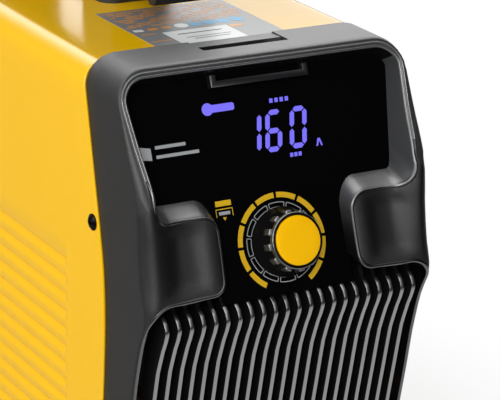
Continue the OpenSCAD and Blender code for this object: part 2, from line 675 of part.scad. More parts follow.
module encoder_housing() color("silver") on_panel() difference() {
    union() {
        translate([-enc_s / 2, -enc_s / 2, dboard_h]) cube([enc_s, enc_s, enc_d]);
        translate([0, 0, enc_top]) cylinder(h = bush_h - enc_top, r = bush_r);
    }
    translate([0, 0, chamber_top - 0.1]) cylinder(h = far, r = shaft_r + run);
    translate([0, 0, chamber_low]) cylinder(h = chamber_top - chamber_low, r = chamber_r);
}

module encoder_nut() color("silver") on_panel(0, 0, 0) difference() {
    hex(11, nut_h);
    translate([0, 0, -1]) cylinder(h = nut_h + 2, r = bush_r + 0.02);
}

module display_board() color("darkgreen") on_panel(0, 0, dboard_h - board_t) difference() {
    linear_extrude(board_t) {
        translate([-glass_hw + 5, ledge_s + 2]) square([2 * glass_hw - 10, glass_up - ledge_s - 3]);
        translate([-tongue_hw + 3, -glass_down + 4]) square([2 * tongue_hw - 6, glass_down + ledge_s]);
    }
    for (p = spacer_spots) translate([p[0], p[1], -1]) cylinder(h = 5, r = 1.6);
}

module display_module() color("dimgray") on_panel(0, 0, dboard_h)
    translate([-30, ledge_s + 6, 0]) cube([60, glass_up - ledge_s - 12, enc_d - 1]);

module board_spacers() color("white") for (p = spacer_spots) on_panel(p[0], p[1], dboard_h) difference() {
    cylinder(h = -glass_t - dboard_h, r = 3.2);
    translate([0, 0, -1]) cylinder(h = 6.5, r = 1.5);
}

module board_screws() color("silver") for (p = spacer_spots)
    on_panel(p[0], p[1], dboard_h - board_t) rotate([180, 0, 0]) screw(1.4, 6, 2.8, 1.8);

// ---------- sockets ----------

module socket_insulators() color("black") for (s = [-1, 1]) difference() {
    union() {
        backward(s * socket_x, socket_plate_y - collar_d, socket_z) cylinder(h = collar_d, r = collar_r);
        backward(s * socket_x, socket_plate_y, socket_z) cylinder(h = shell_end - socket_plate_y, r = shell_r);
    }
    backward(s * socket_x, contact_y - 8, socket_z) cylinder(h = far, r = contact_r + 0.02);
}

// Brass socket with its stud behind
module contact(x) difference() {
    union() {
        backward(x, contact_y, socket_z) cylinder(h = shoulder_y - contact_y, r = contact_r);
        backward(x, shoulder_y, socket_z) cylinder(h = stud_l, r = stud_r);
    }
    backward(x, contact_y - 1, socket_z) cylinder(h = socket_bore_l + 1, r = socket_bore_r);
    translate([x - 1.6, contact_y - 1, socket_z + socket_bore_r - 1]) cube([3.2, 9, 2.4]);
}

module positive_contact() color("goldenrod") contact(socket_x);
module negative_contact() color("goldenrod") contact(-socket_x);

module socket_rings() color("dimgray") for (s = [-1, 1]) difference() {
    backward(s * socket_x, plate_in_y, socket_z) cylinder(h = 5, r = shell_r + 3.4);
    backward(s * socket_x, plate_in_y - 1, socket_z) cylinder(h = 9, r = shell_r + 0.02);
}

module contact_nuts() color("silver") for (s = [-1, 1]) backward(s * socket_x, shoulder_y + bus_t, socket_z)
    difference() {
        hex(15, cnut_h);
        translate([0, 0, -1]) cylinder(h = cnut_h + 2, r = stud_r + 0.02);
    }

// Copper strap from a socket's stud back to y1 and down onto the board
module busbar(x, y1) difference() {
    union() {
        translate([x - bus_w / 2, shoulder_y, socket_z - bus_w / 2]) cube([bus_w, bus_t, bus_w + 10]);
        translate([x - bus_w / 2, shoulder_y, socket_z + bus_w / 2 + 8]) cube([bus_w, y1 - shoulder_y, bus_t]);
        translate([x - bus_w / 2, y1 - bus_t, board_top]) cube([bus_w, bus_t, socket_z + bus_w / 2 + 8 + bus_t - board_top]);
    }
    backward(x, shoulder_y - 1, socket_z) cylinder(h = bus_t + 2, r = stud_r + 0.1);
}

module positive_busbar() color("peru") busbar(socket_x, board_y + 8);
module negative_busbar() color("peru") busbar(-socket_x, board_y + 8);

// ---------- rear ----------

module switch_housing() color("black") difference() {
    w = rocker_w + 6;
    h = rocker_h + 6;
    union() {
        translate([-rear_fit_x - w / 2, rear_plate_y - switch_d, rear_fit_z - h / 2]) cube([w, switch_d, h]);
        translate([-rear_fit_x - w / 2 - 2, rear_plate_y, rear_fit_z - h / 2 - 2]) cube([w + 4, 2, h + 4]);
    }
    translate([-rear_fit_x - rocker_w / 2 - gap, rear_plate_y - 10, rear_fit_z - rocker_h / 2 - gap])
        cube([rocker_w + 2 * gap, 20, rocker_h + 2 * gap]);
    translate([-rear_fit_x, rear_plate_y - 3, rear_fit_z]) rotate([0, 90, 0])
        cylinder(h = rocker_w + 4, r = spindle_r + run, center = true);
}

// The rocker rests tipped to one side
module switch_rocker() color("black")
    translate([-rear_fit_x, rear_plate_y - 3, rear_fit_z]) rotate([rocker_a, 0, 0]) {
        rotate([0, 90, 0]) cylinder(h = rocker_w + 3.6, r = spindle_r, center = true);
        side_view(rocker_w, [[0, -3], [2.6, -rocker_h / 2 + 1.2], [2.6 + 5, -rocker_h / 2 + 1.8], [5.6, 0],
            [2.6 + 5, rocker_h / 2 - 1.8], [2.6, rocker_h / 2 - 1.2], [0, 3], [-4, 0]]);
    }

module cable_gland() color("black") difference() {
    union() {
        backward(rear_fit_x, rear_in_y - 8, rear_fit_z) cylinder(h = 12, r = gland_r);
        backward(rear_fit_x, rear_plate_y, rear_fit_z) hex(2 * gland_r + 4, 5);
        backward(rear_fit_x, rear_plate_y + 5, rear_fit_z) cylinder(h = gland_out - 5, r1 = gland_r + 0.6, r2 = gland_r - 2.4);
    }
    backward(rear_fit_x, rear_in_y - 9, rear_fit_z) cylinder(h = far / 8, r = cable_r);
}

module gland_nut() color("black") difference() {
    backward(rear_fit_x, rear_in_y - 5, rear_fit_z) hex(2 * gland_r + 4, 5);
    backward(rear_fit_x, rear_in_y - 6, rear_fit_z) cylinder(h = 9, r = gland_r + 0.02);
}

module fan_frame() color("black") difference() {
    union() {
        difference() {
            translate([-fan_s / 2, fan_y, fan_z - fan_s / 2]) cube([fan_s, fan_d, fan_s]);
            backward(0, fan_y - 1, fan_z) cylinder(h = fan_d + 2, r = fan_hole_r);
        }
        // Motor plate on four arms, on the side away from the panel
        backward(0, fan_y, fan_z) cylinder(h = 3, r = hub_r);
        for (a = [45 : 90 : 315]) backward(0, fan_y, fan_z) rotate(a) translate([0, -2, 0]) cube([fan_hole_r + 1, 4, 3]);
    }
    backward(0, fan_y - 1, fan_z) cylinder(h = 9, r = spindle_r + run);
    for (x = [-1, 1], z = [-1, 1]) backward(x * fan_pitch, fan_y - 1, fan_z + z * fan_pitch)
        cylinder(h = fan_d + 2, r = 2.15);
}

module fan_rotor() color("dimgray") {
    backward(0, fan_y + 3.4, fan_z) cylinder(h = fan_d - 5, r = hub_r);
    backward(0, fan_y + 0.4, fan_z) cylinder(h = 5, r = spindle_r);
    intersection() {
        backward(0, fan_y + 4, fan_z) cylinder(h = fan_d - 6, r = fan_hole_r - 1);
        for (i = [0 : blade_n - 1]) backward(0, fan_y + fan_d / 2 + 1, fan_z) rotate(i * 360 / blade_n)
            translate([hub_r + 12, 0, 0]) rotate([38, 0, 0]) cube([30, 26, 1.4], center = true);
    }
}

module fan_guard() color("dimgray") difference() {
    union() {
        for (i = [0 : 5]) backward(0, rear_plate_y, fan_z) rotate_extrude()
            translate([6 + i * (fan_hole_r - 6) / 5 - 1, 0]) square([2, guard_t]);
        for (a = [0 : 45 : 135]) backward(0, rear_plate_y, fan_z) rotate(a)
            translate([-fan_hole_r - 1, -1.2, 0]) cube([2 * fan_hole_r + 2, 2.4, guard_t]);
        for (x = [-1, 1], z = [-1, 1]) {
            backward(x * fan_pitch, rear_plate_y, fan_z + z * fan_pitch) cylinder(h = guard_t, r = 5);
            translate([0, rear_plate_y, fan_z]) rotate([0, -x * z * 45, 0])
                translate([x > 0 ? fan_hole_r - 1 : -fan_pitch * sqrt(2), 0, -3])
                    cube([fan_pitch * sqrt(2) - fan_hole_r + 1, guard_t, 6]);
        }
    }
    for (x = [-1, 1], z = [-1, 1]) backward(x * fan_pitch, rear_plate_y - 1, fan_z + z * fan_pitch) cylinder(h = 9, r = 2.2);
}

module fan_screws() color("silver") for (x = [-1, 1], z = [-1, 1])
    backward(x * fan_pitch, rear_plate_y + guard_t, fan_z + z * fan_pitch)
        screw(2, guard_t + mould_t + fan_d - 4, 3.8, 2.2);

// ---------- inside ----------

module main_board() color("darkgreen") difference() {
    translate([-board_hw, board_y, board_z]) cube([board_w, board_l, board_t]);
    for (p = board_spots) translate([p[0], p[1], board_z - 1]) cylinder(h = 5, r = 1.7);
}

module main_standoffs() color("goldenrod") for (p = board_spots) translate([p[0], p[1], floor_z]) difference() {
    union() {
        hex(6, board_z - floor_z);
        translate([0, 0, -tray_t]) cylinder(h = tray_t, r = 1.5);
    }
    translate([0, 0, board_z - floor_z - 6]) cylinder(h = 9, r = 1.42);
}

module main_screws() color("silver") for (p = board_spots)
    translate([p[0], p[1], board_top]) screw(1.4, 6, 2.9, 1.8);

module heat_sinks() color("silver") for (s = [-1, 1]) translate([s * sink_x - sink_w / 2, sink_y, sink_z]) {
    cube([sink_w, sink_l, 6]);
    for (i = [0 : sink_fins - 1]) translate([i * (sink_w - 2) / (sink_fins - 1), 0, 5]) cube([2, sink_l, sink_h - 5]);
}

module transistors() color("black") for (p = transistor_spots)
    translate([p[0] - 10, p[1] - 8, board_top]) cube([20, 16, package_t]);

module bridge_rectifier() color("dimgray") translate([board_hw - 32, board_y + 13, board_top])
    cube([28, 8, 24]);

module bus_capacitors() color("midnightblue") for (p = capacitor_spots)
    translate([p[0], p[1], board_top]) cylinder(h = 40, r = 12.4);

module relay() color("royalblue") translate([board_hw - 15, board_y + 50, board_top]) cube([13, 22, 26]);

module control_board() color("darkgreen") translate([-board_hw + 2, board_y + 18, board_top])
    cube([board_t, 44, 46]);

// Ferrite core with a square window on each side of its middle leg
module transformer_core() color("dimgray") difference() {
    translate([core_at[0], core_at[1], board_top]) cube([46, 12, 56]);
    for (x = [8, 28]) translate([core_at[0] + x, core_at[1] - 1, board_top + 10]) cube([10, 14, 36]);
}

module transformer_winding() color("peru") difference() {
    translate([core_at[0] + 8.4, core_at[1] - 6, board_top + 11]) cube([29.2, 24, 34]);
    translate([core_at[0] + 18 - 0.2, core_at[1] - 0.2, board_top]) cube([10.4, 12.4, 80]);
}

module choke_core() color("dimgray") backward(choke_at[0], choke_at[1], board_top + 21.5) difference() {
    cylinder(h = 16, r = 18);
    translate([0, 0, -1]) cylinder(h = 18, r = 10);
}

module choke_winding() color("peru") backward(choke_at[0], choke_at[1], board_top + 21.5)
    for (a = [0 : 30 : 330]) rotate(a) translate([14, 0, 8]) rotate([90, 0, 0]) difference() {
        translate([-7.4, -11.4, -1.5]) cube([14.8, 22.8, 3]);
        translate([-4.2, -8.2, -2]) cube([8.4, 16.4, 4]);
    }

module earth_stud() color("goldenrod") translate([earth_at[0], earth_at[1], floor_z]) {
    translate([0, 0, -tray_t]) cylinder(h = 12, r = 2);
    hex(7, 3);
}

cover_shell();
base_tray();
front_bezel();
panel_surround();
strap_loop();
display_window();
rib_grille();
socket_plate();
rear_panel();
rubber_feet();
foot_screws();
side_screws();
handle_frame();
handle_grip();
handle_feet();
handle_screws();
rating_label();
knob_body();
knob_cap();
encoder_shaft();
encoder_plunger();
encoder_housing();
encoder_nut();
display_board();
display_module();
board_spacers();
board_screws();
socket_insulators();
positive_contact();
negative_contact();
socket_rings();
contact_nuts();
switch_housing();
switch_rocker();
cable_gland();
gland_nut();
fan_frame();
fan_rotor();
fan_guard();
fan_screws();
main_board();
main_standoffs();
main_screws();
heat_sinks();
transistors();
bridge_rectifier();
bus_capacitors();
relay();
control_board();
transformer_core();
transformer_winding();
choke_core();
choke_winding();
positive_busbar();
negative_busbar();
earth_stud();
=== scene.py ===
import json
import math

import bmesh
import bpy
from mathutils import Matrix, Vector


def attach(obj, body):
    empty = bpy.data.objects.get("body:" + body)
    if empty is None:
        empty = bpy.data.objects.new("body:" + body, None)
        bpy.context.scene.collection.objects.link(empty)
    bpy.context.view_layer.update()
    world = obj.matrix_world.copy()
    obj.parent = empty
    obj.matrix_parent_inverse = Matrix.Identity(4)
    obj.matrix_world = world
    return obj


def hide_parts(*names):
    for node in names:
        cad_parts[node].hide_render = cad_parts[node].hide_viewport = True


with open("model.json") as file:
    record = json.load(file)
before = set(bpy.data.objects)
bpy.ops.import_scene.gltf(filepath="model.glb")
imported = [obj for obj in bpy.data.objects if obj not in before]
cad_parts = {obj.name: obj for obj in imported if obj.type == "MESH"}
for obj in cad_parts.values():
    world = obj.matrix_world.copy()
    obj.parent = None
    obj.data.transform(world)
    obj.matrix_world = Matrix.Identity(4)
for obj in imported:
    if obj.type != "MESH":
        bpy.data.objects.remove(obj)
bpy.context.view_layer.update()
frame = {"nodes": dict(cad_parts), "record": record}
nodes = frame["nodes"]
scene = bpy.context.scene
scene.view_settings.view_transform = "Standard"


# ---------- Camera ----------
# A long lens at arm's length, a little above the window and to its left.
# It looks down on the top, the window and the upper half of the ribs.
camera_data = bpy.data.cameras.new("camera")
camera_data.sensor_width = 36
camera_data.lens = 171.15
camera_data.clip_start = 0.05
camera_data.clip_end = 30
camera = bpy.data.objects.new("camera", camera_data)
scene.collection.objects.link(camera)
camera_right = (0.8672048, -0.4973143, 0.0251847)
camera_up = (0.1457961, 0.3019456, 0.9421106)
camera_back = (-0.4761295, -0.8133310, 0.3343552)
camera_place = (-0.4231328, -0.8336132, 0.4579209)
camera.matrix_world = Matrix([
    (camera_right[i], camera_up[i], camera_back[i], camera_place[i]) for i in range(3)] + [(0, 0, 0, 1)])
scene.camera = camera


# ---------- Floor and studio light ----------
# A pale floor that reads white to the lens further out and keeps the machine's shadow.
# Three soft boxes, and a bright wall behind on the right, which the paint's top shows as cream patches.
def ramp(tree, source, span, levels=(0, 1), kind="SMOOTHSTEP"):
    """A value that goes from one level to the other as its source crosses a span."""
    node = tree.nodes.new("ShaderNodeMapRange")
    node.interpolation_type = kind
    for name, value in zip(("From Min", "From Max", "To Min", "To Max"), (*span, *levels)):
        node.inputs[name].default_value = value
    tree.links.new(source, node.inputs["Value"])
    return node.outputs["Result"]


def reckoned(tree, operation, first, second):
    """Two values multiplied or added."""
    node = tree.nodes.new("ShaderNodeMath")
    node.operation = operation
    tree.links.new(first, node.inputs[0])
    tree.links.new(second, node.inputs[1])
    return node.outputs["Value"]


def chosen(tree, factor, first, second, kind="FLOAT"):
    """The first value or colour where the factor is 0, the second where it is 1."""
    node = tree.nodes.new("ShaderNodeMix")
    node.data_type = kind
    for name, source in (("Factor", factor), ("A", first), ("B", second)):
        if isinstance(source, bpy.types.NodeSocket):
            tree.links.new(source, node.inputs[name])
        else:
            node.inputs[name].default_value = source
    return node.outputs["Result"]


def chosen_shader(tree, factor, first, second):
    """The same choice between two shaders."""
    node = tree.nodes.new("ShaderNodeMixShader")
    for k, source in enumerate((factor, first, second)):
        tree.links.new(source, node.inputs[k])
    return node.outputs["Shader"]


floor_mesh = bpy.data.meshes.new("floor")
bm = bmesh.new()
bmesh.ops.create_grid(bm, x_segments=1, y_segments=1, size=20)
bm.to_mesh(floor_mesh)
bm.free()
floor = bpy.data.objects.new("floor", floor_mesh)
scene.collection.objects.link(floor)
floor_paint = bpy.data.materials.new("pale_floor")
floor_paint.use_nodes = True
floor_mesh.materials.append(floor_paint)
tree = floor_paint.node_tree
shade = tree.nodes["Principled BSDF"]
shade.inputs["Base Color"].default_value = (0.5, 0.5, 0.5, 1)
shade.inputs["Roughness"].default_value = 0.6
path = tree.nodes.new("ShaderNodeLightPath")
place = tree.nodes.new("ShaderNodeTexCoord").outputs["Object"]
reach = tree.nodes.new("ShaderNodeVectorMath")
reach.operation = "LENGTH"
tree.links.new(place, reach.inputs[0])
fade = ramp(tree, reach.outputs["Value"], (0.12, 0.25), (0.78, 1.0))
seen = reckoned(tree, "MULTIPLY", path.outputs["Is Camera Ray"], fade)
glow = tree.nodes.new("ShaderNodeEmission")
glow.inputs["Color"].default_value = (1, 1, 1, 1)
plain = chosen_shader(tree, seen, shade.outputs["BSDF"], glow.outputs["Emission"])
# Glossy faces mirror a white card that lies just in front, and a grey floor elsewhere
where = tree.nodes.new("ShaderNodeSeparateXYZ")
tree.links.new(place, where.inputs["Vector"])
in_front = ramp(tree, where.outputs["Y"], (-0.02, -0.15))
in_reach = ramp(tree, reach.outputs["Value"], (0.42, 0.3))
card_level = ramp(tree, reckoned(tree, "MULTIPLY", in_front, in_reach), (0, 1), (0.03, 1.5), "LINEAR")
mirrored_floor = tree.nodes.new("ShaderNodeEmission")
tree.links.new(chosen(tree, in_front, 0.33, card_level), mirrored_floor.inputs["Strength"])
finished = chosen_shader(tree, path.outputs["Is Glossy Ray"], plain, mirrored_floor.outputs["Emission"])
tree.links.new(finished, tree.nodes["Material Output"].inputs["Surface"])

world = bpy.data.worlds.new("studio")
scene.world = world
world.use_nodes = True
tree = world.node_tree
tree.nodes.clear()
split = tree.nodes.new("ShaderNodeSeparateXYZ")
tree.links.new(tree.nodes.new("ShaderNodeTexCoord").outputs["Generated"], split.inputs["Vector"])
along_x, along_y, along_z = (split.outputs[axis] for axis in "XYZ")
# The room is brighter behind and grows dark overhead
room = reckoned(tree, "MULTIPLY", ramp(tree, along_y, (-0.5, 0.7), (0.5, 1.0)),
                ramp(tree, along_z, (0.1, 0.8), (1.0, 0.25)))
# Glossy faces mirror a card in front, bright to the left of the lens and dark to its right
card_left = reckoned(tree, "MULTIPLY", ramp(tree, along_x, (-0.35, 0.62), (2.7, 0.0)),
                     ramp(tree, along_x, (-0.9, -0.2), (0.45, 1.0)))
# A card overhead, which the turned tops of the ribs pick up
ahead = reckoned(tree, "ADD", card_left, ramp(tree, along_z, (0.68, 0.88), (0.0, 1.3)))
# A wall behind, brighter high up for the rough black top, and darker on the left for the rounded edges
behind = reckoned(tree, "MULTIPLY", ramp(tree, along_z, (0.3, 0.65), (2.2, 6.5)),
                  ramp(tree, along_x, (-0.35, 0.2), (0.15, 1.0)))
mirror_look = chosen(tree, ramp(tree, along_y, (0, 0.5)), ahead, behind)
path = tree.nodes.new("ShaderNodeLightPath")
look = chosen(tree, path.outputs["Is Glossy Ray"], room, mirror_look)
background = tree.nodes.new("ShaderNodeBackground")
background.inputs["Color"].default_value = (1, 1, 1, 1)
tree.links.new(chosen(tree, path.outputs["Is Camera Ray"], look, 1), background.inputs["Strength"])
out = tree.nodes.new("ShaderNodeOutputWorld")
tree.links.new(background.outputs["Background"], out.inputs["Surface"])


def soft_box(name, place, target, size, power):
    """A square lamp that faces a point."""
    data = bpy.data.lights.new(name, "AREA")
    data.shape = "RECTANGLE"
    data.size, data.size_y = size
    data.energy = power
    lamp = bpy.data.objects.new(name, data)
    scene.collection.objects.link(lamp)
    lamp.location = place
    lamp.rotation_euler = (Vector(target) - Vector(place)).to_track_quat("-Z", "Y").to_euler()


soft_box("box_over", (-0.1, 0.1, 1.3), (0, 0, 0.1), (0.9, 0.7), 1.5)
soft_box("box_left", (-1.4, 0.1, 0.7), (0, 0, 0.1), (0.9, 0.9), 9)
soft_box("box_front", (-0.9, -1.35, 1.0), (0, -0.1, 0.14), (0.7, 0.7), 17)


# ---------- Sheet-metal cover ----------
# One yellow powder-coated steel sheet, folded over the top and down both sides.
# Its front edge follows the front moulding's seam. The louvres are cut and pressed in.
MM = 0.001


def make_group(name, numbers, outputs):
    """A node group with the given number inputs and outputs."""
    group = bpy.data.node_groups.new(name, "ShaderNodeTree")
    for label, default in numbers:
        socket = group.interface.new_socket(name=label, in_out="INPUT", socket_type="NodeSocketFloat")
        socket.default_value = default
    for label, kind in outputs:
        group.interface.new_socket(name=label, in_out="OUTPUT", socket_type=kind)
    return group, group.nodes.new("NodeGroupInput"), group.nodes.new("NodeGroupOutput")


# Moulded or sprayed grain: fine bumps, with a roughness that wanders slowly
grain_group, grain_in, grain_out = make_group(
    "surface_grain",
    (("Scale", 1500), ("Depth", 0.2), ("Rough Low", 0.3), ("Rough High", 0.4), ("Drift", 30)),
    (("Roughness", "NodeSocketFloat"), ("Normal", "NodeSocketVector"), ("Mask", "NodeSocketFloat")))
n, link = grain_group.nodes, grain_group.links.new
place = n.new("ShaderNodeTexCoord")
fine = n.new("ShaderNodeTexNoise")
fine.inputs["Detail"].default_value = 2
link(place.outputs["Object"], fine.inputs["Vector"])
link(grain_in.outputs["Scale"], fine.inputs["Scale"])
slow = n.new("ShaderNodeTexNoise")
slow.inputs["Detail"].default_value = 3
link(place.outputs["Object"], slow.inputs["Vector"])
link(grain_in.outputs["Drift"], slow.inputs["Scale"])
bump = n.new("ShaderNodeBump")
bump.inputs["Distance"].default_value = 0.0002
link(grain_in.outputs["Depth"], bump.inputs["Strength"])
link(fine.outputs["Fac"], bump.inputs["Height"])
span = n.new("ShaderNodeMapRange")
span.inputs["From Min"].default_value = 0.35
span.inputs["From Max"].default_value = 0.65
link(slow.outputs["Fac"], span.inputs["Value"])
link(grain_in.outputs["Rough Low"], span.inputs["To Min"])
link(grain_in.outputs["Rough High"], span.inputs["To Max"])
link(span.outputs["Result"], grain_out.inputs["Roughness"])
link(bump.outputs["Normal"], grain_out.inputs["Normal"])
link(slow.outputs["Fac"], grain_out.inputs["Mask"])


def finish(name, colour, second, grain=(1500, 0.2), rough=(0.35, 0.45), drift=30, metallic=0.0, specular=0.5,
           ior=1.5, glow=None):
    """A material: its colour drifts a little between two shades, over a grain of its own."""
    material = bpy.data.materials.new(name)
    material.use_nodes = True
    tree = material.node_tree
    principled = tree.nodes["Principled BSDF"]
    for label, value in (("Metallic", metallic), ("Specular IOR Level", specular), ("IOR", ior)):
        principled.inputs[label].default_value = value
    surface = tree.nodes.new("ShaderNodeGroup")
    surface.node_tree = grain_group
    for label, value in zip(("Scale", "Depth", "Rough Low", "Rough High", "Drift"), (*grain, *rough, drift)):
        surface.inputs[label].default_value = value
    tint = chosen(tree, surface.outputs["Mask"], (*colour, 1), (*second, 1), "RGBA")
    tree.links.new(tint, principled.inputs["Base Color"])
    for label in ("Roughness", "Normal"):
        tree.links.new(surface.outputs[label], principled.inputs[label])
    if glow:
        principled.inputs["Emission Color"].default_value = (*glow, 1)
        principled.inputs["Emission Strength"].default_value = 1.0
    return material


def make_piece(name, bm, material, body="case", slot=None, replaces=(), smooth=30):
    """Writes a bmesh drawn in millimetres as a piece in metres that rides on a body."""
    bmesh.ops.scale(bm, vec=(MM, MM, MM), verts=bm.verts)
    mesh = bpy.data.meshes.new(name)
    bm.to_mesh(mesh)
    bm.free()
    for polygon in mesh.polygons:
        polygon.use_smooth = True
    mesh.set_sharp_from_angle(angle=math.radians(smooth))
    mesh.materials.append(material)
    piece = bpy.data.objects.new(name, mesh)
    scene.collection.objects.link(piece)
    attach(piece, body)
    if replaces:
        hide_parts(*replaces)
    return piece


def along(table, at):
    """Value at a place along a short table of (place, value), rounded between its rows."""
    rows = sorted(table)
    if at <= rows[0][0]:
        return rows[0][1]
    if at >= rows[-1][0]:
        return rows[-1][1]
    for k in range(len(rows) - 1):
        if at <= rows[k + 1][0]:
            break
    (x1, y1), (x2, y2) = rows[k], rows[k + 1]
    x0, y0 = rows[k - 1] if k else (2 * x1 - x2, 2 * y1 - y2)
    x3, y3 = rows[k + 2] if k + 2 < len(rows) else (2 * x2 - x1, 2 * y2 - y1)
    m1, m2 = (y2 - y0) / (x2 - x0), (y3 - y1) / (x3 - x1)
    t, w = (at - x1) / (x2 - x1), x2 - x1
    return ((2 * t ** 3 - 3 * t ** 2 + 1) * y1 + (t ** 3 - 2 * t ** 2 + t) * w * m1
            + (3 * t ** 2 - 2 * t ** 3) * y2 + (t ** 3 - t ** 2) * w * m2)


def step(low, high, at):
    """0 before low, 1 after high, and a smooth rise between."""
    t = min(1, max(0, (at - low) / (high - low)))
    return t * t * (3 - 2 * t)


def arc(cx, cz, r, a0, a1, n=8):
    """Points along a round corner, from one angle to the other."""
    return [(cx + r * math.cos(math.radians(a0 + (a1 - a0) * k / n)),
             cz + r * math.sin(math.radians(a0 + (a1 - a0) * k / n))) for k in range(n + 1)]


def add_mirrored(bm, merge):
    """Adds the left half to a drawing of the right one, and joins the two in the middle."""
    mirrored = bmesh.ops.duplicate(bm, geom=bm.verts[:] + bm.edges[:] + bm.faces[:])["geom"]
    bmesh.ops.scale(bm, vec=(-1, 1, 1), verts=[g for g in mirrored if isinstance(g, bmesh.types.BMVert)])
    bmesh.ops.reverse_faces(bm, faces=[g for g in mirrored if isinstance(g, bmesh.types.BMFace)])
    bmesh.ops.remove_doubles(bm, verts=bm.verts, dist=merge)
    bmesh.ops.recalc_face_normals(bm, faces=bm.faces)


cover_w, cover_top, cover_r, sheet_t = 122.8, 217, 9, 1
# The rows along the cover are counted from a line well ahead of its front edge
cover_low, cover_back, lead = 8, 121.7, 130
seam = ((4, -104.5), (40, -107.6), (80, -110.2), (104, -111.6), (124, -112), (141, -110.9), (155, -108.3),
        (168.4, -105), (185.6, -100.8), (200.6, -97.2), (211.4, -94.6), (215, -93.6), (230, -93))
louvre_n, louvre_pitch, louvre_top, louvre_y, louvre_l = 14, 7.1, 136.9, -80.6, 78
louvre_in, louvre_h, louvre_lip, louvre_lip_in = 1.9, 3.4, 0.9, 0.4

# Heights up one side, with fine rows at every louvre, then round the corner and half the top
heights = [cover_low, 20]
for i in reversed(range(louvre_n)):
    z = louvre_top - i * louvre_pitch
    heights += [z - louvre_h - 0.5, z - louvre_h, z - 2.4, z - 1.5, z - 0.7, z - 0.04, z + 0.04, z + louvre_lip]
heights += [145, 160, 175, 190, 200, cover_top - cover_r]
profile = [(cover_w / 2, z) for z in heights]
profile += arc(cover_w / 2 - cover_r, cover_top - cover_r, cover_r, 0, 90)[1:]
profile += [(x, cover_top) for x in (45, 30, 15, 0)]
louvre_start = louvre_y + lead
lengths = [0, 6, 12, 18, 24] + [louvre_start + d for d in (-1.5, 0, 0.8, 1.8, 3, 5)]
lengths += [louvre_start + 12 + i * 9 for i in range(7)]
lengths += [louvre_start + louvre_l + d for d in (-5, -3, -1.8, -0.8, 0, 1.5)]
lengths += [150, 180, 210, 240, cover_back + lead]


def pressed(y, z):
    """How far the sheet is pressed in: full under each louvre's edge, running out below it."""
    for i in range(louvre_n):
        top = louvre_top - i * louvre_pitch
        if top - louvre_h <= z <= top:
            depth = louvre_in * (1 - step(0, louvre_h, top - z) ** 0.8)
            near = min(y - louvre_y, louvre_y + louvre_l - y)
            return depth * min(1, max(0, near / (2.2 + 0.9 * (top - z)))) ** 0.5
        if top < z < top + louvre_lip and louvre_y < y < louvre_y + louvre_l:
            return louvre_lip_in * (top + louvre_lip - z) / louvre_lip
    return 0


bm = bmesh.new()
wide = len(profile)
bmesh.ops.create_grid(bm, x_segments=wide - 1, y_segments=len(lengths) - 1, size=1)
bm.verts.ensure_lookup_table()
for v in bm.verts:
    i, j = v.index % wide, v.index // wide
    x, z = profile[i]
    front = along(seam, z) + 0.3
    y = lengths[j] - lead
    y = front + (y + lead) if j == 0 else max(y, front + 0.8 * j)
    inward = pressed(y, z) if i < len(heights) else 0
    v.co = (x - inward, y, z)
# The flat, narrow faces from each pressed edge out to the sheet are the louvres' open mouths
mouths = []
for f in bm.faces:
    across, up = [v.co.x for v in f.verts], [v.co.z for v in f.verts]
    if (max(up) - min(up) < 0.1 and max(up) < cover_top - cover_r
            and min(across) < cover_w / 2 - 1.2 and max(across) > cover_w / 2 - 0.1):
        mouths.append(f)
bmesh.ops.delete(bm, geom=mouths, context="FACES_ONLY")
add_mirrored(bm, 0.001)
if max(bm.faces, key=lambda f: f.calc_center_median().z).normal.z < 0:
    bmesh.ops.reverse_faces(bm, faces=bm.faces)
yellow_paint = finish("yellow_paint", (0.90, 0.515, 0.002), (0.88, 0.495, 0.001), grain=(2600, 0.05),
                      rough=(0.14, 0.18), drift=14, specular=0.32)
cover = make_piece("cover_sheet", bm, yellow_paint, slot="yellow_paint", replaces=["cover_shell"], smooth=35)
wall = cover.modifiers.new("sheet", "SOLIDIFY")
wall.thickness = sheet_t * MM
wall.offset = -1
wall.use_even_offset = True


# ---------- Front moulding ----------
# One black moulding: a frame round the window, a shoulder block on each side of the knob,
# and a border down each side of the ribs. A bead runs round every inner edge; on the frame it takes the lighter
# satin, a painted highlight.
side_x, top_z, corner_r = 60.5, cover_top + 2.5, 12
# The shoulder blocks' nose, from which their dished faces lean back
nose_y, nose_z, block_slope = -145.6, 139.3, 0.3444
# Depth of the front edge at each height, from the top of the frame down past the nose
edge_depth = ((8, -115.5), (78.7, -129.6), (92.5, -132.3), (104.7, -134.4), (113.4, -136.5), (122.2, -139),
              (128.7, -142), (132.75, -144.5), (136, -145.6), (139.5, -145.6), (158, -142.5), (173, -139.9),
              (178, -138.2), (182.8, -135.9), (196, -129.1), (216.9, -118.2))
window_lean, frame_lean = math.radians(21.17), math.radians(28.2)
knob_at = Vector((0, -134.96, 152.27))


def window_depth(z):
    """Depth of the window's face at a height."""
    return knob_at.y + (z - knob_at.z) * math.tan(window_lean)


def round_of(z):
    """Radius of the edge between the side and the front, wide at the shoulder blocks."""
    return along(((60, 1.3), (128, 1.4), (136, 3.4), (146, 5.2), (160, 5.2), (172, 4.2), (180, 3.4),
                  (210, 2.2)), z)


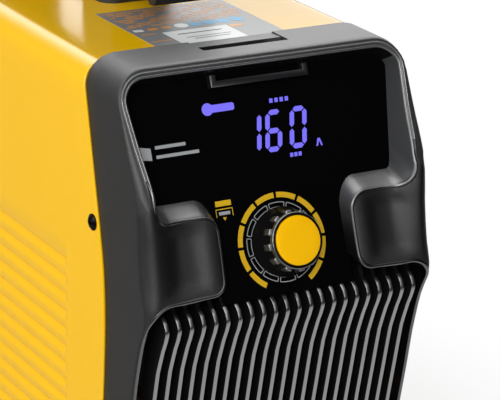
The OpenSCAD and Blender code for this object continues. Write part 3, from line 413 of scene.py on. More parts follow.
def face_depth(x, z):
    """Depth of the shoulder block's face: proud along its outer edge, dished inside it."""
    edge = along(edge_depth, z)
    inner = max(edge, nose_y + (z - nose_z) * block_slope) if z > nose_z else edge
    depth = inner + (edge - inner) * step(44.5, 56.5, x)
    dish = along(((27, 1.3), (28.4, 0.65), (30, 0.22), (32.2, 0), (33.2, 0.06), (34.8, 0.38), (36.4, 0.88),
                  (38, 1.32), (39.7, 1.55), (41.5, 1.65), (44, 1.7), (46.5, 1.62), (48.4, 1.4), (50, 1.07),
                  (51.8, 0.62), (53.5, 0.33), (55, 0.2), (58, 0.1)), x)
    depth += dish * step(139.6, 147, z) * (1 - 0.6 * step(160, 167, z))
    radius = round_of(z)
    if x > side_x - radius:
        u = min(1, (x - side_x + radius) / radius)
        depth += radius * 1.15 * (1 - math.sqrt(max(0, 1 - u * u)))
    return depth


slot_hw, slot_front, slot_back, slot_deep = 18, -105.3, -99.8, 8
# The frame's front edge along the top, and where it turns down the side
frame_y, frame_top, turn_x, seam_back, rows_front = -116.7, 216.9, 48.3, -93.05, -112.65
# The path of the inner edge: (kind, point x, z, angle), from the middle of the top down to the floor
stations = [("top", x, frame_top, 90)
            for x in (0, 8, slot_hw - 0.1, slot_hw, slot_hw + 0.7, 26, 34, 42, turn_x)]
stations += [("corner", 0, 0, a) for a in (78.75, 67.5, 56.25, 45, 33.75, 22.5, 11.25)]
stations += [("side", 0, z, 0) for z in (207, 203, 199, 195, 191, 187, 184, 181.5, 179)]
lip = arc(46.6, 175.4, 8, 0, -90, 10) + [(42, 167.4), (37.5, 167.4)] + arc(34.6, 160.9, 6.6, 90, 180)
lip += [(27.9, 157.5), (27.95, 153), (28.05, 148.5)] + arc(33.6, 145.4, 5.4, 180, 270)
lip += [(37.5, 139.9), (42, 139.7), (46.5, 139.5)] + arc(50.2, 130.2, 9.3, 90, 0, 12)
stations += [("face", x, z, 0) for x, z in lip]
stations += [("border", 59.5, z, 0) for z in (127, 123, 118, 112, 106, 99, 92, 84, 76, 69, 65)]
right_way, back_way = Vector((1, 0, 0)), Vector((0, 1, 0))
frame_slope = Vector((0, math.sin(frame_lean), math.cos(frame_lean)))
frame_out = Vector((0, -math.cos(frame_lean), math.sin(frame_lean)))
window_slope = Vector((0, math.sin(window_lean), math.cos(window_lean)))
window_out = Vector((0, -math.cos(window_lean), math.sin(window_lean)))


def mixed(a, b, t):
    """A point or number on the way from one to another."""
    return a * (1 - t) + b * t


def hump(at, middle, half):
    """A round hump: 1 at its middle, 0 past half its width."""
    return math.cos(min(1, abs(at - middle) / half) * math.pi / 2)


def side_line(z):
    """The frame's groove beside the window leans and closes in downward."""
    return Vector((54.9 + (z - 174.8) * 0.1, -138.4 + (z - 174.8) * 0.515, z))


def wall_x(z):
    """How far out the recess's side wall meets the window at a height."""
    return 51.2 + (z - 174) * 0.14


# Columns across each row, how many of them turn the outer edge, and the point that the rows run towards
land_n, turned_n = 24, 6
pole_x, pole_z = 80, 153
frame_rows = []
for kind, x, z, a in stations:
    turn = math.radians(a)
    on_face = kind in ("face", "border")
    if not on_face:
        normal, groove = frame_out, 1.0
        if kind == "top":
            crest = Vector((x, frame_y, frame_top)) - frame_slope * 0.8
            out = frame_slope.copy()
        elif kind == "corner":
            out = right_way * math.cos(turn) + frame_slope * math.sin(turn)
            crest = Vector((turn_x, frame_y, frame_top)) - frame_slope * 10 + out * 9.2
        else:
            crest = side_line(z) - right_way * 0.8
            crest.y = mixed(face_depth(crest.x, z), crest.y, step(179, 196, z))
            out = right_way.copy()
            groove = step(178.5, 184, z)
        bead_w = 2.2
        start = crest + out * 2.6
        if kind == "top":
            end = Vector((x, start.y + 3.2, top_z))
            knee = Vector((x, start.y + 0.2, top_z))
            seam_end = Vector((x, seam_back, top_z))
            tuck = Vector((x, -92.4, top_z - 3.2))
        elif kind == "corner":
            edge_x = side_x - corner_r + corner_r * math.cos(turn)
            edge_z = top_z - corner_r + corner_r * math.sin(turn)
            seam_y = along(seam, min(edge_z, cover_top))
            end = Vector((edge_x, start.y + 2.9, edge_z))
            knee = Vector((edge_x, start.y + 0.2, edge_z))
            seam_end = Vector((edge_x, seam_y - 0.05, edge_z))
            tuck = Vector((edge_x - math.cos(turn) * 0.6, seam_y + 1.6, edge_z - math.sin(turn) * 3.2))
        else:
            end = Vector((side_x, along(edge_depth, z) + round_of(z) * 1.15, z))
            knee = Vector((side_x, start.y + 0.1, z))
            seam_end = Vector((side_x, along(seam, z) - 0.05, z))
            tuck = Vector((side_x - 0.5, along(seam, z) + 4, z))
        fill = []
        for k in range(land_n + 1):
            t = k / land_n
            fill.append(mixed(mixed(end, knee, t), mixed(knee, start, t), t))
        outer = [tuck, mixed(seam_end, tuck, 0.12), seam_end]
        for y in (slot_back + 0.05, slot_back - 0.05, slot_front + 0.05, slot_front - 0.05):
            outer.append(mixed(seam_end, end, (y - seam_back) / (rows_front - seam_back)))
        if kind == "top" and x < slot_hw:
            for p, drop in zip(outer[1:6], (0.5, 0.5, 0.4, slot_deep, slot_deep)):
                p.z = top_z - drop
    else:
        crest, groove = Vector((x, face_depth(x, z), z)), 0.0
        out, bead_w = right_way.copy(), 0.9
        if kind == "face":
            k = lip.index((x, z))
            before, after = lip[max(0, k - 1)], lip[min(len(lip) - 1, k + 1)]
            tangent = Vector((after[0] - before[0], 0, after[1] - before[1])).normalized()
            out = Vector((-tangent.z, 0, tangent.x))
            bead_w = min(2.6, 0.52 * (side_x - x) / max(0.2, out.x))
        start_x, start_z = x + out.x * bead_w, z + out.z * bead_w
        # Every row runs on towards one far point, so that no two of them cross
        outer_z = mixed(pole_z, start_z, (pole_x - side_x) / (pole_x - start_x)) if kind == "face" else z
        eps = 0.05
        dx = face_depth(start_x + eps, start_z) - face_depth(start_x - eps, start_z)
        dz = face_depth(start_x, start_z + eps) - face_depth(start_x, start_z - eps)
        normal = Vector((dx / (2 * eps), -1, dz / (2 * eps))).normalized()
        fill = []
        across = side_x - start_x
        turned = min(round_of(outer_z), 0.6 * across)
        for k in range(land_n + 1):
            if k <= turned_n:
                d = turned * (1 - math.cos(math.radians(90 * k / turned_n)))
            else:
                d = turned + (across - turned) * (k - turned_n) / (land_n - turned_n)
            pz = outer_z + (start_z - outer_z) * (d / across)
            fill.append(Vector((side_x - d, face_depth(side_x - d, pz), pz)))
        seam_end = Vector((side_x, along(seam, outer_z) - 0.05, outer_z))
        tuck = Vector((side_x - 0.5, along(seam, outer_z) + 4, outer_z))
        outer = [tuck, mixed(seam_end, tuck, 0.12), seam_end]
        outer += [mixed(seam_end, fill[0], t) for t in (0.2, 0.4, 0.6, 0.8)]
    # Beads between the face and the inner edge: two with a groove on the frame, one elsewhere
    beads = []
    for k in range(13):
        d = bead_w * (1 - k / 12.5)
        pair = 0.36 * hump(d, 1.6, 0.5) - 0.3 * hump(d, 1.0, 0.35) + 0.32 * hump(d, 0.35, 0.45)
        p = crest + out * d
        if on_face:
            p.y = face_depth(p.x, p.z)
        beads.append(p + normal * mixed(0.24 * hump(d, 0.42, 0.5), pair, groove))
    # The wall behind the inner edge: liner and ledge run back to the window, the rest to the ribs' gap
    if kind == "top":
        back = Vector((x, window_depth(211.4) + 0.3, 211.4))
    elif kind == "corner":
        back = Vector((turn_x, window_depth(206.3), 206.3))
        back += right_way * math.cos(turn) * 7.6 + window_slope * math.sin(turn) * 5.6
    elif kind == "side":
        back_z = z + 1.6 - (z - 179) * 0.0857
        back = Vector((wall_x(back_z), window_depth(back_z), back_z))
    elif kind == "border":
        back = Vector((58.8, along(edge_depth, z) + 11, z))
    elif z > 166.9 and x > 34.4:
        back_z = 171.2 + 8.4 * step(50.5, 54.6, x)
        back = Vector((min(x - 0.8, wall_x(back_z)), window_depth(back_z), back_z))
    elif z > 160.7:
        back_z = along(((160, 160.5), (163, 163.6), (166, 168.2), (167.4, 170.9)), z)
        back_x = mixed(33.8, 26.4, min(1, max(0, (34.6 - x) / 6.7)))
        back = Vector((back_x, window_depth(back_z), back_z))
    elif z > 145.3:
        back = Vector((x - 1.5, window_depth(z) + 0.2, z))
    elif x < 33.7:
        back = Vector((x - 1.0, window_depth(z) + 1.5, z - 0.2))
    else:
        back = Vector((min(x - 0.4, 59.0), along(edge_depth, z) + 11, z + 0.6))
    edge_turn = [crest - out * 0.12 + normal * 0.02, crest - out * 0.28 - normal * 0.35]
    wall_line = [mixed(edge_turn[-1], back, t) for t in (0.08, 0.35, 0.7, 1.0)]
    hidden = back + back_way * 1.6 - out * 0.5
    frame_rows.append(outer + fill + beads + edge_turn + wall_line + [hidden])

bm = bmesh.new()
wide = len(frame_rows[0])
bmesh.ops.create_grid(bm, x_segments=wide - 1, y_segments=len(frame_rows) - 1, size=1)
bm.verts.ensure_lookup_table()
for v in bm.verts:
    v.co = frame_rows[v.index // wide][v.index % wide]
bm.faces.ensure_lookup_table()
SATIN, BEAD, FRAME = 1, 2, 3
for f in bm.faces:
    # Columns are counted from the back of the wall out to the seam
    row, column = f.index // (wide - 1), wide - 2 - f.index % (wide - 1)
    kind, x, z, a = stations[row]
    on_frame = kind in ("top", "corner", "side")
    lined = on_frame or (kind == "face" and (z > 150 or x < 30))
    # Painted highlight: on the frame the beads take the lighter satin so they read as bright lines; low on the
    # sides, where the groove runs out, the outer bead goes back to black
    running_out = kind == "side" and z < 185 and column > 9
    # Painted shade: along the top and round the upper corners, the liner's wall takes the black bead finish in
    # place of satin, where it lies in shade
    painted_shade_wall = kind in ("top", "corner") and a > 40 and column < 5
    if not painted_shade_wall and ((lined and column < 7) or (on_frame and column <= 16 and not running_out)):
        f.material_index = SATIN
    elif column <= 11:
        f.material_index = BEAD
    elif column > 43 or on_frame:
        f.material_index = FRAME
add_mirrored(bm, 0.002)
high = [f for f in bm.faces if f.calc_center_median().z > top_z - 0.05]
if high and high[0].normal.z < 0:
    bmesh.ops.reverse_faces(bm, faces=bm.faces)
black_moulding = finish("black_moulding", (0.0055, 0.0054, 0.0057), (0.0045, 0.0044, 0.0047), grain=(3600, 0.7),
                        rough=(0.30, 0.35), drift=24, specular=0.44)
satin_liner = finish("satin_liner", (0.055, 0.056, 0.058), (0.047, 0.048, 0.050), grain=(1500, 0.08),
                     rough=(0.24, 0.28), drift=30, ior=1.8)
# Painted shade: low in the recess the satin's colour darkens to near black, in place of the deep shade beside
# the knob
tree = satin_liner.node_tree
base_colour = tree.nodes["Principled BSDF"].inputs["Base Color"]
height = tree.nodes.new("ShaderNodeSeparateXYZ")
tree.links.new(tree.nodes.new("ShaderNodeTexCoord").outputs["Object"], height.inputs["Vector"])
above_painted_shade = ramp(tree, height.outputs["Z"], (0.150, 0.169))
satin = base_colour.links[0].from_socket
tree.links.new(chosen(tree, above_painted_shade, (0.004, 0.004, 0.004, 1), satin, "RGBA"), base_colour)
moulding = make_piece("front_moulding", bm, black_moulding, slot="black_moulding",
                      replaces=["front_bezel", "panel_surround"], smooth=48)
moulding.data.materials.append(satin_liner)
moulding.data.materials.append(finish("bead_black", (0.0055, 0.0054, 0.0057), (0.0045, 0.0044, 0.0047),
                                      grain=(1500, 0.05), rough=(0.20, 0.24), drift=30, specular=0.8))
# Painted light: the frame's own copy of the black plastic is a shade lighter in colour, and rougher, so that
# its top reads brighter
moulding.data.materials.append(finish("frame_black", (0.0085, 0.0084, 0.0087), (0.0070, 0.0069, 0.0072),
                                      grain=(3600, 0.45), rough=(0.46, 0.52), drift=24, specular=0.50))
wall = moulding.modifiers.new("wall", "SOLIDIFY")
wall.thickness = 0.9 * MM
wall.offset = -1


# ---------- Lower frame ----------
# The bottom of the same moulding: a bar under the ribs and a frame round the socket recess.
# It leans back a little, as the border above it does.
def loop_of(hw, low, high, r_low, r_high):
    """A closed run round a rectangle with round corners, as points (x, z)."""
    corners = ((hw - r_high, high - r_high, r_high, 0), (-hw + r_high, high - r_high, r_high, 90),
               (-hw + r_low, low + r_low, r_low, 180), (hw - r_low, low + r_low, r_low, 270))
    return [p for cx, cz, r, a in corners for p in arc(cx, cz, r, a, a + 90, 6)]


bm = bmesh.new()
rings = []
for shape, line, depth in (
        ((side_x - 1.5, 9.5, 65, 2, 0.1), seam, 3), ((side_x, 8, 65, 2.6, 0.1), seam, 0),
        ((side_x, 8, 65, 2.6, 0.1), edge_depth, 1.2), ((side_x - 0.35, 8.35, 65, 2.5, 0.1), edge_depth, 0.35),
        ((side_x - 1.2, 9.2, 65, 2, 0.1), edge_depth, 0), ((50.9, 13.1, 55.9, 3.6, 3.6), edge_depth, 0),
        ((50.25, 13.75, 55.25, 3.2, 3.2), edge_depth, 0.3), ((50, 14, 55, 3, 3), edge_depth, 0.9),
        ((50, 14, 55, 3, 3), edge_depth, 9)):
    rings.append([bm.verts.new((x, along(line, z) + depth, z)) for x, z in loop_of(*shape)])
for one, two in zip(rings, rings[1:]):
    for k in range(len(one)):
        bm.faces.new((one[k], one[(k + 1) % len(one)], two[(k + 1) % len(one)], two[k]))
bmesh.ops.remove_doubles(bm, verts=bm.verts, dist=0.001)
bmesh.ops.recalc_face_normals(bm, faces=bm.faces)
make_piece("lower_frame", bm, black_moulding, slot="black_moulding", smooth=40)


# ---------- Window ----------
# A plate of gloss black glass-clear plastic, 2.5 mm thick, with a tongue down between the blocks.
# The print is on its face, and the lit digits show through it.
def on_window(bm):
    """Turns a flat drawing (x, up the slope, out of the face) onto the window."""
    turn = Matrix((right_way, window_slope, window_out)).transposed().to_4x4()
    bmesh.ops.transform(bm, matrix=Matrix.Translation(knob_at) @ turn, verts=bm.verts)
    return bm


def thicken(bm, faces, by):
    """Extrudes faces along a vector and returns the new points."""
    grown = bmesh.ops.extrude_face_region(bm, geom=faces, use_keep_orig=True)["geom"]
    tops = [g for g in grown if isinstance(g, bmesh.types.BMVert)]
    bmesh.ops.translate(bm, vec=by, verts=tops)
    return tops


def plate(bm, outline, low, high, bevel=0.0, segments=2):
    """A flat plate with the given outline between two heights, its top edge softened."""
    base = bm.faces.new([bm.verts.new((x, y, low)) for x, y in outline])
    if sum(x0 * y1 - x1 * y0 for (x0, y0), (x1, y1) in zip(outline[-1:] + outline[:-1], outline)) > 0:
        base.normal_flip()
    tops = thicken(bm, [base], (0, 0, high - low))
    if bevel:
        rim = [e for e in {e for v in tops for e in v.link_edges} if all(v in tops for v in e.verts)]
        bmesh.ops.bevel(bm, geom=rim, offset=bevel, segments=segments, profile=0.5, affect="EDGES", material=-1)
    bmesh.ops.recalc_face_normals(bm, faces=bm.faces)


window_hw, window_up, window_r, tongue_hw, tongue_low, ledge_s = 56.2, 64.4, 7, 27.2, -18.9, 20.2
step_hw = window_hw - 4
outline = [(-tongue_hw, tongue_low), (tongue_hw, tongue_low), (tongue_hw, 9), (34.5, ledge_s - 1)]
outline += [(step_hw, ledge_s - 1), (step_hw, ledge_s + 4)]
outline += arc(window_hw - window_r, window_up - window_r, window_r, 0, 90)
outline += arc(-window_hw + window_r, window_up - window_r, window_r, 90, 180)
outline += [(-step_hw, ledge_s + 4), (-step_hw, ledge_s - 1), (-34.5, ledge_s - 1), (-tongue_hw, 9)]
bm = bmesh.new()
plate(bm, outline, -2.5, 0, bevel=0.25)
black_glass = finish("black_glass", (0.0022, 0.0022, 0.0026), (0.0018, 0.0018, 0.0022), grain=(300, 0.0),
                     rough=(0.03, 0.05), drift=20, specular=0.0)
make_piece("window_plate", on_window(bm), black_glass, slot="black_glass", replaces=["display_window"])


def flat_print(name, shapes, material):
    """Thin shapes printed on the window, each an outline of corners."""
    bm = bmesh.new()
    for shape in shapes:
        face = bm.faces.new([bm.verts.new((x, y, 0)) for x, y in shape])
        face.normal_update()
        if face.normal.z < 0:
            face.normal_flip()
    thicken(bm, bm.faces[:], (0, 0, 0.03))
    bmesh.ops.recalc_face_normals(bm, faces=bm.faces)
    make_piece(name, on_window(bm), material)


def oblong(x0, y0, x1, y1, slant=0.0):
    """The corners of a bar between two heights, leaning over by slant."""
    return [(x0, y0), (x1, y0), (x1 + slant, y1), (x0 + slant, y1)]


def ring_part(r0, r1, a0, a1, n=8):
    """An arc-shaped bar between two radii."""
    return arc(0, 0, r1, a0, a1, n) + arc(0, 0, r0, a1, a0, n)


print_yellow = finish("print_yellow", (0.72, 0.43, 0.0), (0.68, 0.40, 0.0), grain=(900, 0.0), rough=(0.35, 0.4))
print_white = finish("print_white", (0.36, 0.37, 0.38), (0.33, 0.34, 0.35), grain=(900, 0.0), rough=(0.4, 0.45))
scale_marks = [ring_part(16.4, 18.4, 105 - 30 * k - 13.2, 105 - 30 * k + 13.2) for k in range(-4, 6)]
flat_print("scale_marks", scale_marks, print_yellow)
outlines = []
for k in range(12):
    a0, a1 = 15 + 30 * k + 2.0, 45 + 30 * k - 2.0
    outlines += [ring_part(14.55, 14.85, a0, a1), ring_part(12.75, 13.05, a0, a1)]
    for a in (a0, a1):
        outlines.append(ring_part(13.0, 14.6, a - 0.6, a + 0.6, 1))
flat_print("step_marks", outlines, print_white)

# Lit digits: seven-segment bars, slanted as on a liquid-crystal display
lit_blue = finish("lit_blue", (0.10, 0.08, 0.30), (0.10, 0.08, 0.30), grain=(900, 0.0), rough=(0.3, 0.3),
                  glow=(0.115, 0.10, 0.72))


def segment(x0, y0, x1, y1, half):
    """One bar of a digit, pointed at both ends."""
    along_bar = Vector((x1 - x0, y1 - y0)).normalized()
    across = Vector((-along_bar.y, along_bar.x)) * half
    a, b = Vector((x0, y0)), Vector((x1, y1))
    return [tuple(p) for p in (a, a + along_bar * half + across, b - along_bar * half + across, b,
                               b - along_bar * half - across, a + along_bar * half - across)]


def digit(x, y, w, h, bars):
    """The lit bars of one digit: a top, b and c right, d bottom, e and f left, g middle."""
    half, lean, space = 0.95, 0.17, 0.3
    top, mid = y + h, y + h / 2
    ends = {"a": (x, top, x + w, top), "g": (x, mid, x + w, mid), "d": (x, y, x + w, y),
            "b": (x + w, mid, x + w, top), "c": (x + w, y, x + w, mid),
            "f": (x, mid, x, top), "e": (x, y, x, mid)}
    shapes = []
    for bar in bars:
        x0, y0, x1, y1 = ends[bar]
        way = Vector((x1 - x0, y1 - y0)).normalized() * space
        shape = segment(x0 + way.x, y0 + way.y, x1 - way.x, y1 - way.y, half)
        shapes.append([(px + (py - y) * lean, py) for px, py in shape])
    return shapes


lit = digit(-6.8, 34, 3.3, 13.5, "bc") + digit(0, 34, 5.3, 13.5, "acdefg")
lit += digit(10.4, 34, 5.4, 13.5, "abcdef")
lit += [oblong(3.8 + i * 2.2, 51.0, 5.2 + i * 2.2, 52.6, 0.1) for i in range(4)]
lit += [[(20.7, 32.7), (21.4, 32.7), (22.1, 34.7), (22.8, 32.7), (23.5, 32.7), (22.6, 35.6), (21.6, 35.6)]]
lit += [oblong(9.0 + i * 1.8, 30.2, 10.3 + i * 1.8, 31.7, 0.1) for i in range(3)]
badge = [(x - 22.1, y + 51.9) for x, y in arc(0, 0, 2.3, 38, 322, 20)]
badge += [(-20.3, 50.5), (-11.6, 50.5), (-11.0, 51.1), (-11.0, 52.7), (-11.6, 53.3), (-20.3, 53.3)]
flat_print("lit_marks", lit + [badge], lit_blue)

# Printed marks beside the knob: a bar, an open frame and a pointer
marks = [oblong(-25.0, 16.5, -18.5, 18.5), oblong(-25.2, 15.3, -18.2, 15.6), oblong(-25.2, 12.6, -24.95, 15.3),
         oblong(-18.45, 12.6, -18.2, 15.3), [(-22.7, 12.4), (-21.1, 12.4), (-21.9, 11.2)]]
flat_print("menu_marks", marks, print_yellow)
flat_print("push_mark", [oblong(-24.0, 13.3, -19.4, 14.5)], print_white)
flat_print("side_badge", [[(-52.2, 37.4), (-47.2, 36.6), (-47.2, 41.0), (-52.2, 42.0)],
                          oblong(-45.4, 37.0, -28.0, 38.2), oblong(-45.4, 40.4, -33.0, 41.6)], print_white)


# ---------- Strap loop ----------
# A moulded U of the same black plastic under the frame, in front of the strap slot.
bm = bmesh.new()
loop_hw, loop_low, loop_h = 20.6, 59.2, 3.0
loop = [(-loop_hw, 64.0), (-loop_hw, loop_low), (loop_hw, loop_low), (loop_hw, 64.0), (loop_hw - 2.4, 64.0),
        (loop_hw - 2.4, loop_low + 2.5), (-loop_hw + 2.4, loop_low + 2.5), (-loop_hw + 2.4, 64.0)]
plate(bm, loop, 0.1, loop_h, bevel=0.5, segments=3)
gloss_black = finish("gloss_black", (0.012, 0.012, 0.013), (0.009, 0.009, 0.010), grain=(900, 0.05),
                     rough=(0.22, 0.30), drift=30, specular=0.5)
make_piece("strap_loop_bar", on_window(bm), gloss_black, slot="black_moulding", replaces=["strap_loop"])


# ---------- Ribs ----------
# Twenty-two gloss black ribs in front of the air opening, each turned over a knee at its top.
rib_n, rib_pitch, rib_t = 22, 5, 1.7
knee_y, knee_z = -145, 131
rib_side = [(5.5, 4.2), (3.4, 2.9), (1.8, 1.7), (0.8, 0.6), (0.2, -0.6), (0.0, -1.9), (0.35, -3.4), (1.3, -6.0),
            (3.2, -10), (5.1, -15), (6.9, -20), (8.6, -28), (10.3, -36.5), (12.8, -48.5), (15.1, -60),
            (17.4, -71)]
rib_back = [(26.2, -71), (24.1, -60), (15.9, -20), (14.5, -2)]
bm = bmesh.new()
for i in range(rib_n):
    x = (i - (rib_n - 1) / 2) * rib_pitch
    top_back = [(14.5, 8), (7.5, 8)] if abs(x) > tongue_hw else []
    verts = [bm.verts.new((x - rib_t / 2, knee_y + y, knee_z + z)) for y, z in rib_side + rib_back + top_back]
    thicken(bm, [bm.faces.new(verts)], (rib_t, 0, 0))
bmesh.ops.recalc_face_normals(bm, faces=bm.faces)
front_edges = [e for e in bm.edges if len(e.link_faces) == 2 and e.calc_face_angle() > 1.2
               and all(abs(v.co.y - knee_y) < 17.6 and v.co.z - knee_z < 4.5 for v in e.verts)
               and all(v.co.y < knee_y + 5.6 or v.co.z < knee_z - 9 for v in e.verts)
               and abs(e.verts[0].co.x - e.verts[1].co.x) < 0.01]
bmesh.ops.bevel(bm, geom=front_edges, offset=0.28, segments=2, profile=0.5, affect="EDGES", material=-1)
rib_gloss = finish("rib_gloss", (0.012, 0.012, 0.013), (0.010, 0.010, 0.011), grain=(900, 0.06),
                   rough=(0.24, 0.30), drift=30, specular=0.85, ior=1.9)
# Painted shade: the ribs' sides, and the tops hidden behind the frame, take a darker, duller copy of the gloss
# black, in place of the shade in the deep gaps
for f in bm.faces:
    f.normal_update()
    centre = f.calc_center_median()
    hidden = centre.z > knee_z + 2.4 and abs(centre.x) > tongue_hw
    f.material_index = 1 if abs(f.normal.x) > 0.8 or hidden else 0
ribs = make_piece("rib_row", bm, rib_gloss, slot="black_moulding", replaces=["rib_grille"], smooth=25)
ribs.data.materials.append(finish("rib_flank", (0.004, 0.004, 0.004), (0.003, 0.003, 0.003), grain=(900, 0.06),
                                  rough=(0.5, 0.6), drift=30, specular=0.1))


# ---------- Knob ----------
# A black knob: a glossy cone with twelve grip nubs under its rim, and a yellow cap pressed into it.
def lathe(profile, steps, closed):
    """A round body turned from a profile of (radius, height)."""
    bm = bmesh.new()
    points = [bm.verts.new((r, 0, h)) for r, h in profile]
    edges = [bm.edges.new(pair) for pair in zip(points, points[1:])]
    if closed:
        edges.append(bm.edges.new((points[-1], points[0])))
    bmesh.ops.spin(bm, geom=points + edges, cent=(0, 0, 0), axis=(0, 0, 1), angle=math.tau, steps=steps,
                   use_merge=True)
    bmesh.ops.remove_doubles(bm, verts=bm.verts, dist=0.001)
    bmesh.ops.recalc_face_normals(bm, faces=bm.faces)
    return bm


cap_r, knob_r, skirt_r, knob_h, knob_lift, nubs = 9.13, 10.45, 13, 12.6, 1.2, 12
profile = [(3.2, knob_lift), (skirt_r - 0.2, knob_lift), (skirt_r, knob_lift + 0.2), (skirt_r, knob_lift + 0.5),
           (skirt_r - 0.15, knob_lift + 0.7), (11.9, 4.3), (10.95, 7), (10, 9.7), (10.1, 9.85),
           (knob_r - 0.1, 9.9),
           (knob_r, 10), (knob_r, 11.45), (knob_r - 0.06, 11.6), (knob_r - 0.22, 11.7), (cap_r + 0.5, 12),
           (cap_r + 0.25, 11.95), (cap_r + 0.06, 11.5), (3.2, 11.3)]
bm = lathe(profile, 120, closed=True)
knob_black = finish("knob_black", (0.006, 0.006, 0.006), (0.005, 0.005, 0.005), grain=(1200, 0.04),
                    rough=(0.12, 0.16), drift=60, specular=0.04)
# Painted highlight: the rim and the nubs take a lighter, shinier copy of the knob's black, which stands in for
# their highlights
knob_rim = finish("knob_rim", (0.030, 0.030, 0.030), (0.024, 0.024, 0.024), grain=(1200, 0.06),
                  rough=(0.28, 0.34), drift=60, specular=0.9, ior=1.8)
for f in bm.faces:
    middle = f.calc_center_median()
    f.material_index = 1 if 9.75 < middle.z < 11.75 and math.hypot(middle.x, middle.y) > 10 else 0
cone = make_piece("knob_cone", on_window(bm), knob_black, body="knob", slot="gloss_black",
                  replaces=["knob_body"], smooth=40)
cone.data.materials.append(knob_rim)

bm = bmesh.new()
for k in range(nubs):
    nub = bmesh.ops.create_cube(bm, size=1)["verts"]
    bmesh.ops.scale(bm, vec=(3.0, 2.9, 4.2), verts=nub)
    for v in nub:
        v.co.y *= 0.84 if v.co.x > 0 else 1
    bmesh.ops.translate(bm, vec=(knob_r - 0.6, 0, 8.0), verts=nub)
    bmesh.ops.rotate(bm, verts=nub, matrix=Matrix.Rotation(math.radians(5 + k * 360 / nubs), 3, "Z"))
bmesh.ops.bevel(bm, geom=bm.edges[:], offset=0.4, segments=3, profile=0.5, affect="EDGES", clamp_overlap=True,
                material=-1)
make_piece("knob_nubs", on_window(bm), knob_rim, body="knob", slot="gloss_black", smooth=40)

cap = [(0, 11.2), (cap_r, 11.2), (cap_r, 12.2), (cap_r - 0.12, 12.42), (cap_r - 0.4, 12.52), (6, 12.58),
       (0, knob_h)]
bm = lathe(cap, 96, closed=False)
knob_yellow = finish("knob_yellow", (1.0, 0.535, 0.0), (0.97, 0.51, 0.0), grain=(1400, 0.10),
                     rough=(0.34, 0.40), drift=60, specular=0.12)
make_piece("knob_disc", on_window(bm), knob_yellow, body="knob", slot="knob_yellow", replaces=["knob_cap"])


# ---------- Rating label ----------
# A grey plate on the cover, with plain rows of bars, blank discs and a paler sticker.
def on_top(name, shapes, material, low, high, **more):
    """Flat plates on the cover's top."""
    bm = bmesh.new()
    for shape in shapes:
        plate(bm, shape, low, high)
    return make_piece(name, bm, material, **more)


label_grey = finish("label_grey", (0.150, 0.152, 0.156), (0.135, 0.137, 0.141), grain=(2200, 0.12),
                    rough=(0.34, 0.42))
label_top = cover_top + 0.22
on_top("label_plate", [oblong(-27.4, -91.5, 27.4, -36)], label_grey, cover_top, label_top, slot="label_grey",
       replaces=["rating_label"])
print_orange = finish("print_orange", (0.62, 0.25, 0.02), (0.55, 0.21, 0.02), grain=(900, 0.0),
                      rough=(0.4, 0.45))
bars = []
for row in range(11):
    y = -38.5 - row * 2.1
    x = -26 + (row * 7 % 5) * 0.6
    k = row
    while x < 24:
        w = 1.4 + (k * 37 % 11) * 0.42
        if row == 0 or (k * 13) % 4:
            bars.append(oblong(x, y - 0.42, min(x + w, 25.5), y + 0.42))
        x += w + 0.6
        k += 1
bars += [oblong(-19.4, -65.8, -15.6, -63.4), oblong(-13.4, -65.4, -9.8, -63), oblong(11.6, -73.6, 17.2, -71),
         oblong(-25.4, -70.9, -19.6, -70.2), oblong(-26, -80.7, -17.4, -80)]
on_top("label_bars", bars, print_orange, label_top, cover_top + 0.26)
print_blue = finish("print_blue", (0.03, 0.27, 0.50), (0.03, 0.25, 0.46), grain=(900, 0.0), rough=(0.4, 0.45))
discs = [[(x + 2.8 * math.cos(math.tau * k / 24), -64.4 + 2.8 * math.sin(math.tau * k / 24)) for k in range(24)]
         for x in (-5.2, 0.9, 6.9, 12.8, 18.9)]
on_top("label_discs", discs[1:], print_blue, label_top, cover_top + 0.26)
sticker_paper = finish("sticker_paper", (0.68, 0.70, 0.70), (0.63, 0.65, 0.65), grain=(1200, 0.05),
                       rough=(0.35, 0.4))
pale = [discs[0], oblong(-25.6, -66, -21.8, -63.4), oblong(-16.6, -90, 10.9, -70.4)]
on_top("label_sticker", pale, sticker_paper, label_top, cover_top + 0.27)
ink = finish("label_ink", (0.02, 0.02, 0.022), (0.018, 0.018, 0.02), grain=(900, 0.0), rough=(0.5, 0.55))
lines = [oblong(-12.5, -75.5, 6.5, -74.6), oblong(-11, -80.5, 7.6, -79.9), oblong(-9, -82.9, 6, -82.3)]
on_top("label_lines", lines, ink, cover_top + 0.27, cover_top + 0.29)


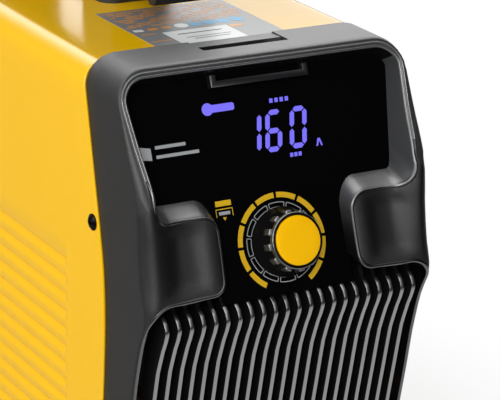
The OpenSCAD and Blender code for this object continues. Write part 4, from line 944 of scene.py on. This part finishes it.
# ---------- Finishes of the pieces that stay as they are ----------
# Every node of the frame takes a finish of its own, slot by slot.
finishes = {
    "yellow_paint": yellow_paint, "black_moulding": black_moulding, "black_glass": black_glass,
    "gloss_black": gloss_black, "knob_yellow": knob_yellow, "label_grey": label_grey,
    "satin_liner": satin_liner,
}
metal = {"metallic": 1.0}
for name, colour, second, grain, rough, more in (
        ("zinc_sheet", (0.52, 0.53, 0.54), (0.44, 0.45, 0.47), (700, 0.05), (0.28, 0.42),
         {"drift": 50, **metal}),
        ("soft_grip", (0.016, 0.016, 0.017), (0.013, 0.013, 0.014), (1100, 0.5), (0.55, 0.65), {}),
        ("foot_rubber", (0.018, 0.018, 0.018), (0.014, 0.014, 0.014), (900, 0.3), (0.65, 0.75), {}),
        ("blackened_screw", (0.005, 0.004, 0.003), (0.003, 0.003, 0.002), (900, 0.1), (0.15, 0.2),
         {"specular": 0.08}),
        ("steel_screw", (0.62, 0.62, 0.62), (0.52, 0.52, 0.53), (900, 0.1), (0.22, 0.34), metal),
        ("nylon_black", (0.02, 0.02, 0.021), (0.016, 0.016, 0.017), (1200, 0.2), (0.35, 0.45), {}),
        ("brass", (0.72, 0.50, 0.20), (0.62, 0.42, 0.16), (800, 0.06), (0.22, 0.34), metal),
        ("copper", (0.78, 0.36, 0.20), (0.66, 0.28, 0.15), (800, 0.06), (0.25, 0.4), metal),
        ("board_green", (0.01, 0.10, 0.035), (0.008, 0.08, 0.03), (700, 0.1), (0.3, 0.4), {}),
        ("module_black", (0.02, 0.02, 0.022), (0.018, 0.018, 0.02), (900, 0.2), (0.4, 0.5), {}),
        ("spacer_white", (0.7, 0.7, 0.68), (0.66, 0.66, 0.64), (900, 0.1), (0.4, 0.5), {}),
        ("aluminium", (0.66, 0.67, 0.68), (0.58, 0.59, 0.60), (600, 0.12), (0.3, 0.42), metal),
        ("capacitor_sleeve", (0.02, 0.03, 0.09), (0.018, 0.026, 0.08), (700, 0.05), (0.3, 0.4), {}),
        ("relay_blue", (0.03, 0.10, 0.40), (0.025, 0.09, 0.36), (700, 0.1), (0.3, 0.4), {}),
        ("ferrite", (0.045, 0.045, 0.048), (0.035, 0.035, 0.038), (500, 0.35), (0.55, 0.7), {})):
    finishes[name] = finish(name, colour, second, grain=grain, rough=rough, **more)
for row in frame["record"]["subparts"]:
    node = nodes[row["node"]]
    if not node.material_slots:
        node.data.materials.append(None)
    for place in node.material_slots:
        place.material = finishes[row["material_slot"]]

# The handle's mouldings are rounded over all their edges, and its two feet are as black as its frame
for name, width, parts in (("handle_frame", 2.5, 4), ("handle_grip", 1.2, 3), ("handle_feet", 1.5, 3)):
    soft = nodes[name].modifiers.new("soft_edges", "BEVEL")
    soft.width = width * MM
    soft.segments = parts
    soft.limit_method = "ANGLE"
    soft.angle_limit = math.radians(35)
    soft.harden_normals = True
for place in nodes["handle_feet"].material_slots:
    place.material = black_moulding
